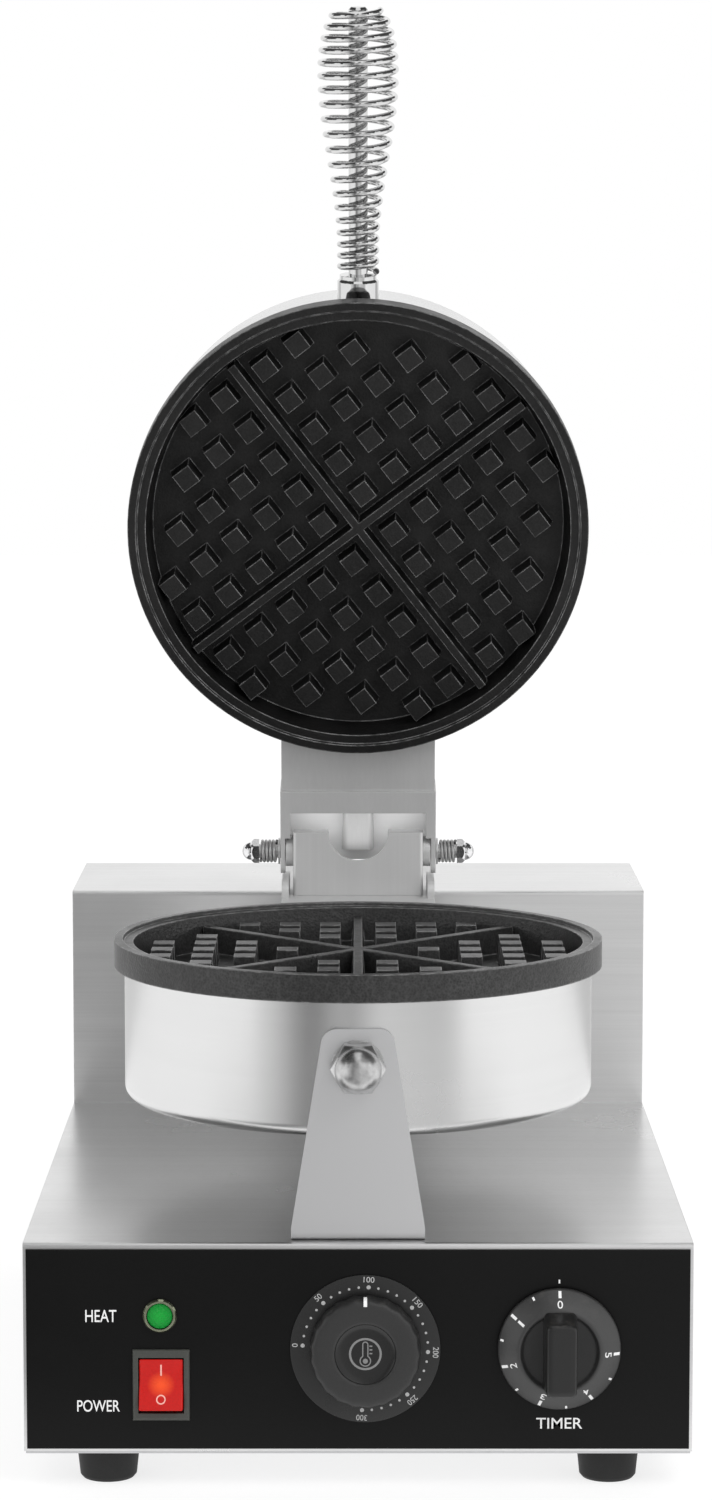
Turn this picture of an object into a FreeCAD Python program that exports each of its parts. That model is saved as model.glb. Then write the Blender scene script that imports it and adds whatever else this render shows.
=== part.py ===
"""Round commercial waffle maker: folded steel base, fixed lower drum and a lid that swings on a sprung hinge.

Millimetres. +Z is up, +X is to the right of a person facing the control panel, and +Y runs to the back.
The origin is under the middle of the machine, on the surface that it stands on. The lid is drawn open.
"""

import FreeCAD, Part
import math
import os
import re

import Sketcher
from FreeCAD import Placement, Rotation, Vector

SIZES = {
    # base: a folded shell with a low deck in front and a full-width tower behind
    "base_width": 250.0,
    "base_depth": 366.0,
    "front_y": -178.0,
    "deck_height": 93.5,
    "tower_height": 187.5,
    "tower_setback": 274.0,
    "shell_gauge": 1.2,
    "shell_bend": 2.0,
    "flange_width": 12.0,
    "facing_gauge": 1.0,
    "facing_trim": 1.2,
    "facing_drop": 2.2,
    "cover_gauge": 1.0,
    "cover_inset": 0.6,
    "vent_length": 34.0,
    "vent_width": 3.0,
    "vent_pitch": 9.0,
    # rubber feet and small screws
    "foot_height": 13.3,
    "foot_top_radius": 12.0,
    "foot_low_radius": 10.7,
    "foot_recess_radius": 5.5,
    "foot_recess_depth": 5.0,
    "foot_x": 94.5,
    "foot_inset": 19.0,
    "screw_radius": 2.0,
    "screw_head_radius": 3.8,
    "screw_head_height": 2.2,
    "screw_length": 8.0,
    "screw_edge": 6.5,
    # controls, placed from the middle of the panel and down from the deck
    "lamp_x": -73.9,
    "lamp_drop": 27.1,
    "lamp_radius": 6.4,
    "lamp_barrel_radius": 4.6,
    "lamp_lens_radius": 5.0,
    "rocker_x": -73.5,
    "rocker_drop": 53.5,
    "bezel_width": 21.4,
    "bezel_height": 27.1,
    "bezel_gauge": 1.6,
    "rocker_opening_width": 17.1,
    "rocker_opening_height": 21.2,
    "rocker_width": 16.4,
    "rocker_radius": 10.2,
    "rocker_throw": 24.0,
    "switch_depth": 22.0,
    "thermostat_x": 2.7,
    "thermostat_drop": 39.6,
    "scale_radius": 28.0,
    "scale_gauge": 0.8,
    "thermostat_knob_radius": 21.0,
    "thermostat_knob_depth": 10.0,
    "thermostat_dish_radius": 11.6,
    "thermostat_body_width": 36.0,
    "thermostat_body_depth": 24.0,
    "timer_x": 75.0,
    "timer_drop": 39.3,
    "timer_skirt_radius": 23.0,
    "timer_knob_depth": 22.0,
    "timer_recess_radius": 14.4,
    "timer_grip_width": 11.8,
    "timer_body_width": 42.0,
    "timer_body_depth": 30.0,
    "knob_gap": 0.7,
    "shaft_radius": 3.0,
    "shaft_clearance": 0.05,
    "bush_radius": 4.6,
    # round plates and their drums
    "drum_setback": 99.5,
    "parting_height": 194.2,
    "ring_radius": 96.0,
    "ring_height": 10.7,
    "lip_width": 3.4,
    "ledge_drop": 1.4,
    "cavity_radius": 88.5,
    "cavity_floor_radius": 86.2,
    "cavity_depth": 15.2,
    "plate_depth": 20.4,
    "peg_width": 8.3,
    "peg_flare": 0.8,
    "peg_height": 10.2,
    "peg_sink": 0.6,
    "rib_width": 3.4,
    "upper_peg_pitch": 16.6,
    "upper_peg_start": 10.6,
    "lower_peg_pitch": 16.5,
    "lower_peg_start": 11.3,
    "upper_rib_angle": 37.5,
    "lower_rib_angle": 44.0,
    "drum_radius": 92.0,
    "drum_gauge": 1.0,
    "drum_depth": 62.2,
    "drum_corner": 4.5,
    "element_radius": 56.0,
    "element_tube": 3.3,
    "element_leg": 10.0,
    "insulation_radius": 89.0,
    "insulation_top": 36.0,
    "insulation_depth": 20.0,
    "conduit_radius": 8.0,
    "conduit_bore": 6.6,
    "conduit_setback": 60.0,
    # front bracket under the drum
    "bracket_width": 50.0,
    "bracket_top_width": 25.5,
    "bracket_height": 80.0,
    "bracket_gauge": 2.0,
    "bracket_foot": 34.0,
    "bracket_corner": 6.0,
    "stud_height": 66.0,
    "stud_radius": 5.0,
    "stud_head_flats": 16.0,
    "stud_head_height": 5.0,
    "stud_standoff": 0.7,
    "acorn_flats": 18.0,
    "acorn_hex_height": 8.0,
    "acorn_dome_radius": 8.7,
    "acorn_bore_depth": 9.0,
    # hinge
    "hinge_reach": 143.8,
    "hinge_rise": 15.0,
    "closed_gap": 0.3,
    "lid_open": 80.0,
    "bridge_width": 65.0,
    "bridge_gauge": 3.6,
    "bridge_start": 196.8,
    "bridge_end": 330.0,
    "bridge_skirt": 36.0,
    "tab_height": 7.4,
    "tab_gauge": 3.0,
    "tab_length": 38.0,
    "hinge_width": 55.5,
    "hinge_gauge": 2.0,
    "hinge_front": 9.0,
    "hinge_back": 10.0,
    "hinge_top": 9.0,
    "hinge_bend": 7.0,
    "notch_radius": 13.0,
    "notch_lift": 10.0,
    "hinge_bolt_radius": 3.0,
    "hinge_bolt_clearance": 0.05,
    "spacer_radius": 6.5,
    "hinge_washer_radius": 5.6,
    "hinge_head_flats": 10.0,
    "hinge_head_height": 4.0,
    "spring_radius": 4.3,
    "spring_wire": 0.65,
    "spring_length": 8.2,
    "spring_turns": 4.5,
    "cap_flats": 9.0,
    "cap_hex_height": 3.4,
    "cap_dome_radius": 3.9,
    "cap_bore_depth": 4.5,
    # lid arm
    "arm_width": 65.4,
    "arm_gauge": 1.5,
    "arm_floor": 11.2,
    "arm_height": 17.0,
    "arm_end": 115.8,
    "arm_lip": 8.0,
    "saddle_bolt_height": 22.7,
    "saddle_bolt_angle": 10.0,
    "rivet_radius": 1.6,
    "rivet_skin": 0.5,
    "yoke_width": 66.4,
    "yoke_gauge": 2.0,
    "yoke_ear": 9.3,
    "window_width": 57.9,
    "window_reach": 18.5,
    "arm_cover_gauge": 1.2,
    "arm_cover_tail": 8.0,
    "duct_width": 13.8,
    "duct_height": 12.4,
    "duct_length": 41.0,
    # handle
    "handle_lift": 28.0,
    "rod_radius": 4.0,
    "ferrule_radius": 8.7,
    "ferrule_length": 11.0,
    "handle_nut_flats": 12.0,
    "handle_nut_height": 6.5,
    "rod_inside": 12.0,
    "coil_length": 110.0,
    "coil_wire": 1.35,
    "coil_neck": 7.5,
    "coil_belly": 15.5,
    "coil_crown": 6.0,
    "coil_neck_length": 10.0,
    "coil_belly_at": 84.0,
    "coil_turns": 20.0,
    "coil_crowding": 0.17,
    # supply
    "gland_radius": 9.0,
    "gland_bore": 3.6,
    "gland_x": -80.0,
    "gland_height": 40.0,
    "gland_outside": 11.0,
}

SHELL_BOTTOM = "(foot_height + cover_gauge)"
WALL_Y = "(front_y + facing_gauge)"
BACK_Y = "(front_y + base_depth)"
DRUM_Y = "(front_y + drum_setback)"
HINGE_Y = "(front_y + drum_setback + hinge_reach)"
HINGE_Z = "(parting_height + hinge_rise)"
AXIS_LIFT = "(hinge_rise - closed_gap)"
BRIDGE_TOP = "(tower_height + bridge_gauge)"
PLANES = {"top": "XY_Plane", "front": "XZ_Plane", "side": "YZ_Plane"}
TOUCH = 1e-4
POINTS_PER_TURN = 12

doc = FreeCAD.newDocument("waffle_maker")
sheet = doc.addObject("Spreadsheet::Sheet", "sizes")
nodes = []


# ---------------------------------------------------------------- the sheet and its expressions
def fill_sheet():
    for row, (alias, amount) in enumerate(SIZES.items(), 1):
        sheet.set(f"A{row}", alias.replace("_", " "))
        sheet.set(f"B{row}", str(amount))
        sheet.setAlias(f"B{row}", alias)
    doc.recompute()


def bound(text):
    """An expression in the sheet's aliases, each one a pair of words or more joined by underscores."""
    return re.sub(r"[a-z]+(?:_[a-z]+)+", r"sizes.\g<0>", str(text))


def number(text):
    return float(sheet.evalExpression(bound(text)))


def bind(item, prop, text):
    item.setExpression(prop, bound(text))


def place(item, x="0", y="0", z="0", axis=(0, 0, 1), angle=0.0):
    item.Placement = Placement(Vector(number(x), number(y), number(z)), Rotation(Vector(*axis), angle))
    for letter, text in zip("xyz", (x, y, z)):
        bind(item, f"Placement.Base.{letter}", text)
    return item


def lid_frame():
    """The open lid's frame: its origin is the middle of the parting face, its +Y runs to the hinge."""
    swing = Rotation(Vector(1, 0, 0), -number("lid_open"))
    axis_in_lid = Vector(0, number("hinge_reach"), number(AXIS_LIFT))
    return Placement(Vector(0, number(HINGE_Y), number(HINGE_Z)) - swing.multVec(axis_in_lid), swing)


def on_lid(item, x="0", y="0", z="0", axis=(0, 0, 1), angle=0.0):
    local = Placement(Vector(number(x), number(y), number(z)), Rotation(Vector(*axis), angle))
    item.Placement = lid_frame() * local
    return item


def node(item):
    nodes.append(item)
    return item


# ---------------------------------------------------------------- sketches and features
def new_body(name):
    return doc.addObject("PartDesign::Body", name)


def new_sketch(body, plane, depth="0"):
    """A sketch on one of the body's own planes, moved along its normal: +Z, -Y or +X."""
    sketch = body.newObject("Sketcher::SketchObject", f"{body.Name}_sketch")
    support = next(item for item in body.Origin.OriginFeatures if item.Role == PLANES[plane])
    sketch.AttachmentSupport = [(support, "")]
    sketch.MapMode = "FlatFace"
    bind(sketch, "AttachmentOffset.Base.z", depth)
    return sketch


def pin(sketch, element, vertex, x, y):
    for kind, text in (("DistanceX", x), ("DistanceY", y)):
        constraint = Sketcher.Constraint(kind, -1, 1, element, vertex, number(text))
        index = sketch.addConstraint(constraint)
        bind(sketch, f"Constraints[{index}]", text)


def outline(sketch, points):
    """A closed outline of straight edges through points given as pairs of expressions."""
    spots = [Vector(number(x), number(y), 0) for x, y in points]
    first = sketch.GeometryCount
    for start, end in zip(spots, spots[1:] + spots[:1]):
        sketch.addGeometry(Part.LineSegment(start, end))
    for step, (x, y) in enumerate(points):
        following = first + (step + 1) % len(points)
        sketch.addConstraint(Sketcher.Constraint("Coincident", first + step, 2, following, 1))
        pin(sketch, first + step, 1, x, y)
    return sketch


def rectangle(sketch, low_x, low_y, high_x, high_y):
    return outline(sketch, [(low_x, low_y), (high_x, low_y), (high_x, high_y), (low_x, high_y)])


def circle(sketch, x, y, radius):
    round_edge = Part.Circle(Vector(number(x), number(y), 0), Vector(0, 0, 1), number(radius))
    element = sketch.addGeometry(round_edge)
    pin(sketch, element, 3, x, y)
    index = sketch.addConstraint(Sketcher.Constraint("Radius", element, number(radius)))
    bind(sketch, f"Constraints[{index}]", radius)
    return sketch


def grow(body, sketch, length, taper=0.0):
    pad = body.newObject("PartDesign::Pad", f"{body.Name}_pad")
    pad.Profile = sketch
    pad.TaperAngle = taper
    bind(pad, "Length", length)
    doc.recompute()
    return pad


def cut(body, sketch, length):
    """A pocket that runs along the sketch's normal; it must take material away."""
    before = body.Shape.Volume
    pocket = body.newObject("PartDesign::Pocket", f"{body.Name}_pocket")
    pocket.Profile = sketch
    pocket.Reversed = True
    bind(pocket, "Length", length)
    doc.recompute()
    if body.Shape.Volume > before - TOUCH:
        raise RuntimeError(f"{pocket.Label} cuts nothing")
    return pocket


def turn(body, points):
    """A full turn about the body's Z axis of a half section given as (radius, height) pairs."""
    sketch = outline(new_sketch(body, "front"), points)
    spun = body.newObject("PartDesign::Revolution", f"{body.Name}_revolution")
    spun.Profile = sketch
    spun.ReferenceAxis = (sketch, ["V_Axis"])
    doc.recompute()
    return spun


def turned(name, points):
    body = new_body(name)
    turn(body, points)
    return body


def drill(body, plane, depth, length, holes):
    """Round holes, each (x, y, radius) in the plane, from depth on along its normal."""
    sketch = new_sketch(body, plane, depth)
    for x, y, radius in holes:
        circle(sketch, x, y, radius)
    return cut(body, sketch, length)


def repeat_round(body, feature, count):
    pattern = body.newObject("PartDesign::PolarPattern", f"{body.Name}_pattern")
    pattern.Originals = [feature]
    pattern.Axis = (next(item for item in body.Origin.OriginFeatures if item.Role == "Z_Axis"), [""])
    pattern.Occurrences = count
    body.Tip = pattern
    doc.recompute()


def repeat_along(body, feature, role, length, count):
    pattern = body.newObject("PartDesign::LinearPattern", f"{body.Name}_pattern")
    pattern.Originals = [feature]
    pattern.Direction = (next(item for item in body.Origin.OriginFeatures if item.Role == role), [""])
    bind(pattern, "Length", length)
    pattern.Occurrences = count
    body.Tip = pattern
    doc.recompute()


def edge_at(edge, x=None, y=None, z=None):
    """Whether the whole edge lies at the given coordinates."""
    box = edge.BoundBox
    spans = ((x, box.XMin, box.XMax), (y, box.YMin, box.YMax), (z, box.ZMin, box.ZMax))
    return all(want is None or (abs(low - want) < 0.01 and abs(high - want) < 0.01)
               for want, low, high in spans)


def soften(body, radius, choose):
    """A fillet on the edges of the body that choose picks."""
    tip = body.Tip
    picked = [f"Edge{index}" for index, edge in enumerate(tip.Shape.Edges, 1) if choose(edge)]
    if not picked:
        raise RuntimeError(f"no edge to round on {body.Label}")
    fillet = body.newObject("PartDesign::Fillet", f"{body.Name}_fillet")
    fillet.Base = (tip, picked)
    bind(fillet, "Radius", radius)
    doc.recompute()


def primitive(kind, name, **sizes):
    item = doc.addObject(f"Part::{kind}", name)
    for prop, text in sizes.items():
        bind(item, prop, text)
    doc.recompute()
    return item


def fused(name, *items):
    fuse = doc.addObject("Part::MultiFuse", name)
    fuse.Shapes = list(items)
    doc.recompute()
    return fuse


def cut_from(name, base, tool):
    difference = doc.addObject("Part::Cut", name)
    difference.Base = base
    difference.Tool = tool
    doc.recompute()
    return difference


def copies(name, source, places):
    """Identical pieces in one node: links to the source, each with its own placement."""
    links = []
    for step, where in enumerate(places):
        link = doc.addObject("App::Link", f"{name}_{step}")
        link.LinkedObject = source
        link.LinkTransform = True
        link.Placement = where
        links.append(link)
    group = doc.addObject("Part::Compound", name)
    group.Links = links
    doc.recompute()
    return group


def spot(x, y, z, axis=(0, 0, 1), angle=0.0):
    return Placement(Vector(number(x), number(y), number(z)), Rotation(Vector(*axis), angle))


# ---------------------------------------------------------------- fasteners
def pan_screw(name, length="screw_length", radius="screw_radius", head="screw_head_radius"):
    """A screw whose head sits on z = 0 and whose shank goes down."""
    screw = turned(name, [("0", "screw_head_height"), (f"{head} * 0.7", "screw_head_height"),
                          (head, "screw_head_height * 0.45"), (head, "0"), (radius, "0"),
                          (radius, f"-{length}"), ("0", f"-{length}")])
    slot = rectangle(new_sketch(screw, "top", "screw_head_height * 0.55"),
                     f"-{head} * 0.6", "-0.5", f"{head} * 0.6", "0.5")
    cut(screw, slot, "screw_head_height")
    return screw


def hex_bolt(name, flats, head_height, radius, length):
    """A bolt whose six-sided head sits under z = 0 and whose shank goes up."""
    head = primitive("Prism", f"{name}_head", Circumradius=f"{flats} / sqrt(3)", Height=head_height)
    head.Polygon = 6
    place(head, z=f"-{head_height}")
    shank = primitive("Cylinder", f"{name}_shank", Radius=radius, Height=length)
    return fused(name, head, shank)


def acorn_nut(name, flats, hex_height, dome_radius, bore_radius, bore_depth):
    """A domed nut seated on z = 0, with the corners of its six sides turned down."""
    prism = primitive("Prism", f"{name}_hex", Circumradius=f"{flats} / sqrt(3)", Height=hex_height)
    prism.Polygon = 6
    turning = primitive("Cone", f"{name}_turning", Radius1=f"{flats} * 0.78", Radius2=f"{flats} * 0.47",
                        Height=hex_height)
    corners = doc.addObject("Part::Common", f"{name}_corners")
    corners.Base = prism
    corners.Tool = turning
    dome = primitive("Sphere", f"{name}_dome", Radius=dome_radius)
    place(dome, z=hex_height)
    whole = fused(f"{name}_whole", corners, dome)
    below = primitive("Box", f"{name}_below", Length=f"{flats} * 2", Width=f"{flats} * 2", Height=flats)
    place(below, f"-{flats}", f"-{flats}", f"-{flats}")
    seated = cut_from(f"{name}_seated", whole, below)
    bore = primitive("Cylinder", f"{name}_bore", Radius=bore_radius, Height=bore_depth)
    return cut_from(name, seated, bore)


def plain_nut(name, flats, height, bore):
    prism = primitive("Prism", f"{name}_hex", Circumradius=f"{flats} / sqrt(3)", Height=height)
    prism.Polygon = 6
    hole = primitive("Cylinder", f"{name}_hole", Radius=bore, Height=height)
    return cut_from(name, prism, hole)


def washer(name, outer, bore, height):
    return turned(name, [(bore, "0"), (outer, "0"), (outer, height), (bore, height)])


# ---------------------------------------------------------------- base
def control_holes(sketch):
    """The openings for the lamp, the switch and the two spindles, shared by the shell and its facing."""
    circle(sketch, "lamp_x", "deck_height - lamp_drop", "lamp_barrel_radius")
    circle(sketch, "thermostat_x", "deck_height - thermostat_drop", "bush_radius")
    circle(sketch, "timer_x", "deck_height - timer_drop", "bush_radius")
    half_w, half_h = "(bezel_width / 2 - 1.2)", "(bezel_height / 2 - 1.2)"
    rectangle(sketch, f"rocker_x - {half_w}", f"deck_height - rocker_drop - {half_h}",
              f"rocker_x + {half_w}", f"deck_height - rocker_drop + {half_h}")
    return sketch


def bottom_screw_spots():
    rows = ("front_y + 60", "front_y + base_depth / 2", "front_y + base_depth - 60")
    return [(f"{side} * (base_width / 2 - screw_edge)", y) for side in (-1, 1) for y in rows]


def rear_screw_spots():
    rows = ("30", "tower_height / 2", "tower_height - 20")
    return [(f"{side} * (base_width / 2 - screw_edge)", z) for side in (-1, 1) for z in rows]


def base_shell():
    shell = node(new_body("base_shell"))
    tower_y = "front_y + tower_setback"
    profile = [(WALL_Y, SHELL_BOTTOM), (WALL_Y, "deck_height"), (tower_y, "deck_height"),
               (tower_y, "tower_height"), (BACK_Y, "tower_height"), (BACK_Y, SHELL_BOTTOM)]
    grow(shell, outline(new_sketch(shell, "side", "-base_width / 2"), profile), "base_width")
    bends = ((number(WALL_Y), number("deck_height")), (number(tower_y), number("tower_height")))
    soften(shell, "shell_bend", lambda edge: any(edge_at(edge, y=y, z=z) for y, z in bends))
    inner_y, inner_back = f"{WALL_Y} + shell_gauge", f"{BACK_Y} - shell_gauge"
    hollow = [(inner_y, f"{SHELL_BOTTOM} + shell_gauge"), (inner_y, "deck_height - shell_gauge"),
              (f"{tower_y} + shell_gauge", "deck_height - shell_gauge"),
              (f"{tower_y} + shell_gauge", "tower_height - shell_gauge"),
              (inner_back, "tower_height - shell_gauge"), (inner_back, f"{SHELL_BOTTOM} + shell_gauge")]
    cut(shell, outline(new_sketch(shell, "side", "shell_gauge - base_width / 2"), hollow),
        "base_width - 2 * shell_gauge")
    side = "base_width / 2 - flange_width"
    floor = rectangle(new_sketch(shell, "top", "0"), f"-({side})", f"{WALL_Y} + flange_width",
                      side, f"{BACK_Y} - flange_width")
    cut(shell, floor, "deck_height / 2")
    rear = rectangle(new_sketch(shell, "front", f"-({BACK_Y} + 1)"), f"-({side})",
                     f"{SHELL_BOTTOM} + flange_width", side, "tower_height - flange_width")
    cut(shell, rear, "flange_width")
    cut(shell, control_holes(new_sketch(shell, "front", f"-({WALL_Y} + 3)")), "6")
    drill(shell, "top", "0", "deck_height / 4", [(x, y, "screw_radius") for x, y in bottom_screw_spots()])
    drill(shell, "front", f"-({BACK_Y} + 1)", "4", [(x, z, "screw_radius") for x, z in rear_screw_spots()])
    deck_holes = [("0", "front_y + conduit_setback", "conduit_radius")]
    deck_holes += [(x, y, "screw_radius") for x, y in bracket_screw_spots()]
    drill(shell, "top", "deck_height - 4", "8", deck_holes)
    drill(shell, "top", "tower_height - 4", "8", [(x, y, "screw_radius") for x, y in bridge_screw_spots()])


def control_panel():
    panel = node(new_body("control_panel"))
    sketch = new_sketch(panel, "front", f"-({WALL_Y})")
    rectangle(sketch, "facing_trim - base_width / 2", f"{SHELL_BOTTOM} + facing_trim",
              "base_width / 2 - facing_trim", "deck_height - facing_drop")
    control_holes(sketch)
    grow(panel, sketch, "facing_gauge")


def foot_spots():
    rows = ("front_y + foot_inset", "front_y + base_depth - foot_inset")
    return [(f"{side} * foot_x", y) for side in (-1, 1) for y in rows]


def bottom_plate():
    plate = node(new_body("bottom_plate"))
    sketch = new_sketch(plate, "top", "foot_height")
    rectangle(sketch, "cover_inset - base_width / 2", f"{WALL_Y} + cover_inset",
              "base_width / 2 - cover_inset", f"{BACK_Y} - cover_inset")
    for x, y in bottom_screw_spots() + foot_spots():
        circle(sketch, x, y, "screw_radius")
    grow(plate, sketch, "cover_gauge")
    vents(plate, "top", "foot_height - 1", "-base_depth / 10")


def vents(body, plane, depth, start):
    """Two columns of long slots, stepped across the body."""
    sketch = new_sketch(body, plane, depth)
    for side in ("-1", "1"):
        middle = f"{side} * vent_length * 0.75"
        rectangle(sketch, f"{middle} - vent_length / 2", start,
                  f"{middle} + vent_length / 2", f"{start} + vent_width")
    slot = cut(body, sketch, "cover_gauge + 2")
    repeat_along(body, slot, "Y_Axis" if plane == "top" else "Z_Axis", "vent_pitch * 7", 8)


def rear_cover():
    cover = node(new_body("rear_cover"))
    sketch = new_sketch(cover, "front", f"-({BACK_Y} + cover_gauge)")
    rectangle(sketch, "cover_inset - base_width / 2", f"{SHELL_BOTTOM} + cover_inset",
              "base_width / 2 - cover_inset", "tower_height - cover_inset")
    for x, z in rear_screw_spots():
        circle(sketch, x, z, "screw_radius")
    circle(sketch, "gland_x", "gland_height", "gland_radius * 0.7")
    grow(cover, sketch, "cover_gauge")
    vents(cover, "front", f"-({BACK_Y} + cover_gauge + 1)", "85")


def feet():
    foot = turned("foot_shape", [("screw_radius", "foot_height"), ("foot_top_radius", "foot_height"),
                                 ("foot_low_radius", "1.2"), ("foot_low_radius - 1", "0"),
                                 ("foot_recess_radius", "0"), ("foot_recess_radius", "foot_recess_depth"),
                                 ("screw_radius", "foot_recess_depth")])
    node(copies("rubber_feet", foot, [spot(x, y, "0") for x, y in foot_spots()]))
    screw = pan_screw("foot_screw_shape", "(foot_height - foot_recess_depth + 6)")
    down = [spot(x, y, "foot_recess_depth", (1, 0, 0), 180) for x, y in foot_spots()]
    node(copies("foot_screws", screw, down))
    nut = plain_nut("foot_nut_shape", "7", "3.2", "screw_radius")
    node(copies("foot_nuts", nut, [spot(x, y, SHELL_BOTTOM) for x, y in foot_spots()]))


def cover_screws():
    screw = pan_screw("cover_screw_shape")
    under = [spot(x, y, "foot_height", (1, 0, 0), 180) for x, y in bottom_screw_spots()]
    node(copies("bottom_plate_screws", screw, under))
    behind = [spot(x, f"{BACK_Y} + cover_gauge", z, (1, 0, 0), -90) for x, z in rear_screw_spots()]
    node(copies("rear_cover_screws", screw, behind))


def frame_screws():
    """The identical screws that hold the front bracket, the bridge and the hinge seat, in one node."""
    screw = pan_screw("frame_screw_shape")
    heads = [spot(x, y, "deck_height + bracket_gauge") for x, y in bracket_screw_spots()]
    heads += [spot(x, y, BRIDGE_TOP) for x, y in bridge_screw_spots()]
    heads += [spot(x, y, f"{BRIDGE_TOP} + hinge_gauge") for x, y in hinge_floor_spots()]
    node(copies("frame_screws", screw, heads))


def cable_gland():
    """The inlet for the supply lead, clamped through the rear cover by a nut inside."""
    seat = "cover_gauge"
    gland = turned("cable_gland", [("gland_bore", "-8"), ("gland_radius * 0.7", "-8"),
                                   ("gland_radius * 0.7", seat), ("gland_radius", seat),
                                   ("gland_radius", f"{seat} + 4"),
                                    ("gland_radius * 0.72", "gland_outside - 2"),
                                   ("gland_radius * 0.6", "gland_outside + cover_gauge"),
                                   ("gland_bore", "gland_outside + cover_gauge")])
    node(place(gland, "gland_x", BACK_Y, "gland_height", (1, 0, 0), -90))
    nut = plain_nut("gland_nut", "gland_radius * 2", "4", "gland_radius * 0.7")
    node(place(nut, "gland_x", BACK_Y, "gland_height", (1, 0, 0), 90))


def terminal_block():
    block = node(new_body("terminal_block"))
    grow(block, rectangle(new_sketch(block, "top"), "-26", "-9", "26", "9"), "14")
    cut(block, rectangle(new_sketch(block, "top", "7"), "-22", "-9", "-14", "-1"), "9")
    repeat_along(block, block.Tip, "X_Axis", "36", 4)
    drill(block, "top", "6", "9", [(x, "4.5", "2.2") for x in ("-18", "-6", "6", "18")])
    place(block, "-40", f"{BACK_Y} - 60", SHELL_BOTTOM)


# ---------------------------------------------------------------- controls
def lamp():
    at_panel = {"x": "lamp_x", "y": "front_y", "z": "deck_height - lamp_drop", "axis": (1, 0, 0), "angle": 90}
    ring = turned("lamp_ring", [("lamp_lens_radius", "0"), ("lamp_radius", "0"), ("lamp_radius", "0.9"),
                                ("lamp_radius - 0.7", "1.7"), ("lamp_lens_radius", "1.7")])
    node(place(ring, **at_panel))
    lens = turned("lamp_lens", [("0", "0"), ("lamp_lens_radius", "0"), ("lamp_lens_radius", "1.5"),
                                ("lamp_lens_radius * 0.7", "2.5"), ("0", "3")])
    node(place(lens, **at_panel))
    barrel = turned("lamp_body", [("0", "-24"), ("lamp_barrel_radius", "-24"),
                                  ("lamp_barrel_radius", "0"), ("0", "0")])
    node(place(barrel, **at_panel))


def switch_housing():
    """The bezel and the case behind it, with sockets in its side walls for the rocker's pivot."""
    case = node(new_body("switch_housing"))
    half_w, half_h = "bezel_width / 2", "bezel_height / 2"
    bezel = rectangle(new_sketch(case, "front"), f"-{half_w}", f"-{half_h}", half_w, half_h)
    grow(case, bezel, "bezel_gauge")
    soften(case, "1.2", lambda edge: edge_at(edge, y=-number("bezel_gauge")))
    inset_w, inset_h = f"({half_w} - 1.2)", f"({half_h} - 1.2)"
    grow(case, rectangle(new_sketch(case, "front", "-switch_depth"), f"-{inset_w}", f"-{inset_h}",
                         inset_w, inset_h), "switch_depth")
    open_w, open_h = "rocker_opening_width / 2", "rocker_opening_height / 2"
    cut(case, rectangle(new_sketch(case, "front", "-14"), f"-{open_w}", f"-{open_h}", open_w, open_h), "20")
    socket = circle(new_sketch(case, "side", "-rocker_opening_width / 2 - 0.8"), "0", "0", "1.25")
    cut(case, socket, "rocker_opening_width + 1.6")
    place(case, "rocker_x", "front_y", "deck_height - rocker_drop")


def rocker_switch():
    """The key: two flats that meet in a shallow vee, drawn at rest with its top pressed in."""
    key = node(new_body("rocker_switch"))
    tip_y, tip_z = "-rocker_radius * sin(20)", "rocker_radius * cos(20)"
    profile = [("-1.4", "0"), (tip_y, tip_z), ("4.6", "rocker_radius * 0.86"),
               ("4.6", "-rocker_radius * 0.86"), (tip_y, f"-{tip_z}")]
    grow(key, outline(new_sketch(key, "side", "-rocker_width / 2"), profile), "rocker_width")
    soften(key, "0.7", lambda edge: edge_at(edge, y=number(tip_y)))
    reach = "(rocker_width / 2 + 0.9)"
    grow(key, circle(new_sketch(key, "side", f"-{reach}"), "0", "0", "1.2"), f"2 * {reach}")
    place(key, "rocker_x", "front_y", "deck_height - rocker_drop", (1, 0, 0), -number("rocker_throw") / 2)


def spindle(name, x, z, tip, tail):
    shaft = turned(name, [("0", f"-({tail})"), ("shaft_radius", f"-({tail})"),
                          ("shaft_radius", tip), ("0", tip)])
    return node(place(shaft, x, "front_y", z, (1, 0, 0), 90))


def control_case(name, x, z, width, height, depth):
    """A control's case behind the panel: a box with a round bush that the spindle runs in."""
    case = node(new_body(name))
    wall = "facing_gauge + shell_gauge"
    box = rectangle(new_sketch(case, "front", f"-({wall} + {depth})"), f"-{width} / 2", f"-{height} / 2",
                    f"{width} / 2", f"{height} / 2")
    grow(case, box, depth)
    soften(case, "2", lambda edge: edge.Length > number(depth) - TOUCH and edge.BoundBox.YLength > 1)
    grow(case, circle(new_sketch(case, "front", f"-({wall})"), "0", "0", "bush_radius"), wall)
    drill(case, "front", f"-({wall} + {depth} * 0.6)", "base_width",
          [("0", "0", "shaft_radius + shaft_clearance")])
    return place(case, x, "front_y", z)


def thermostat():
    x, z = "thermostat_x", "deck_height - thermostat_drop"
    width = "thermostat_body_width"
    control_case("thermostat_body", x, z, width, width, "thermostat_body_depth")
    spindle("thermostat_spindle", x, z, "thermostat_knob_depth - 4", "10")
    disc = washer("thermostat_scale", "scale_radius", "shaft_radius + 0.5", "scale_gauge")
    node(place(disc, x, "front_y", z, (1, 0, 0), 90))
    thermostat_knob(x, z)


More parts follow.
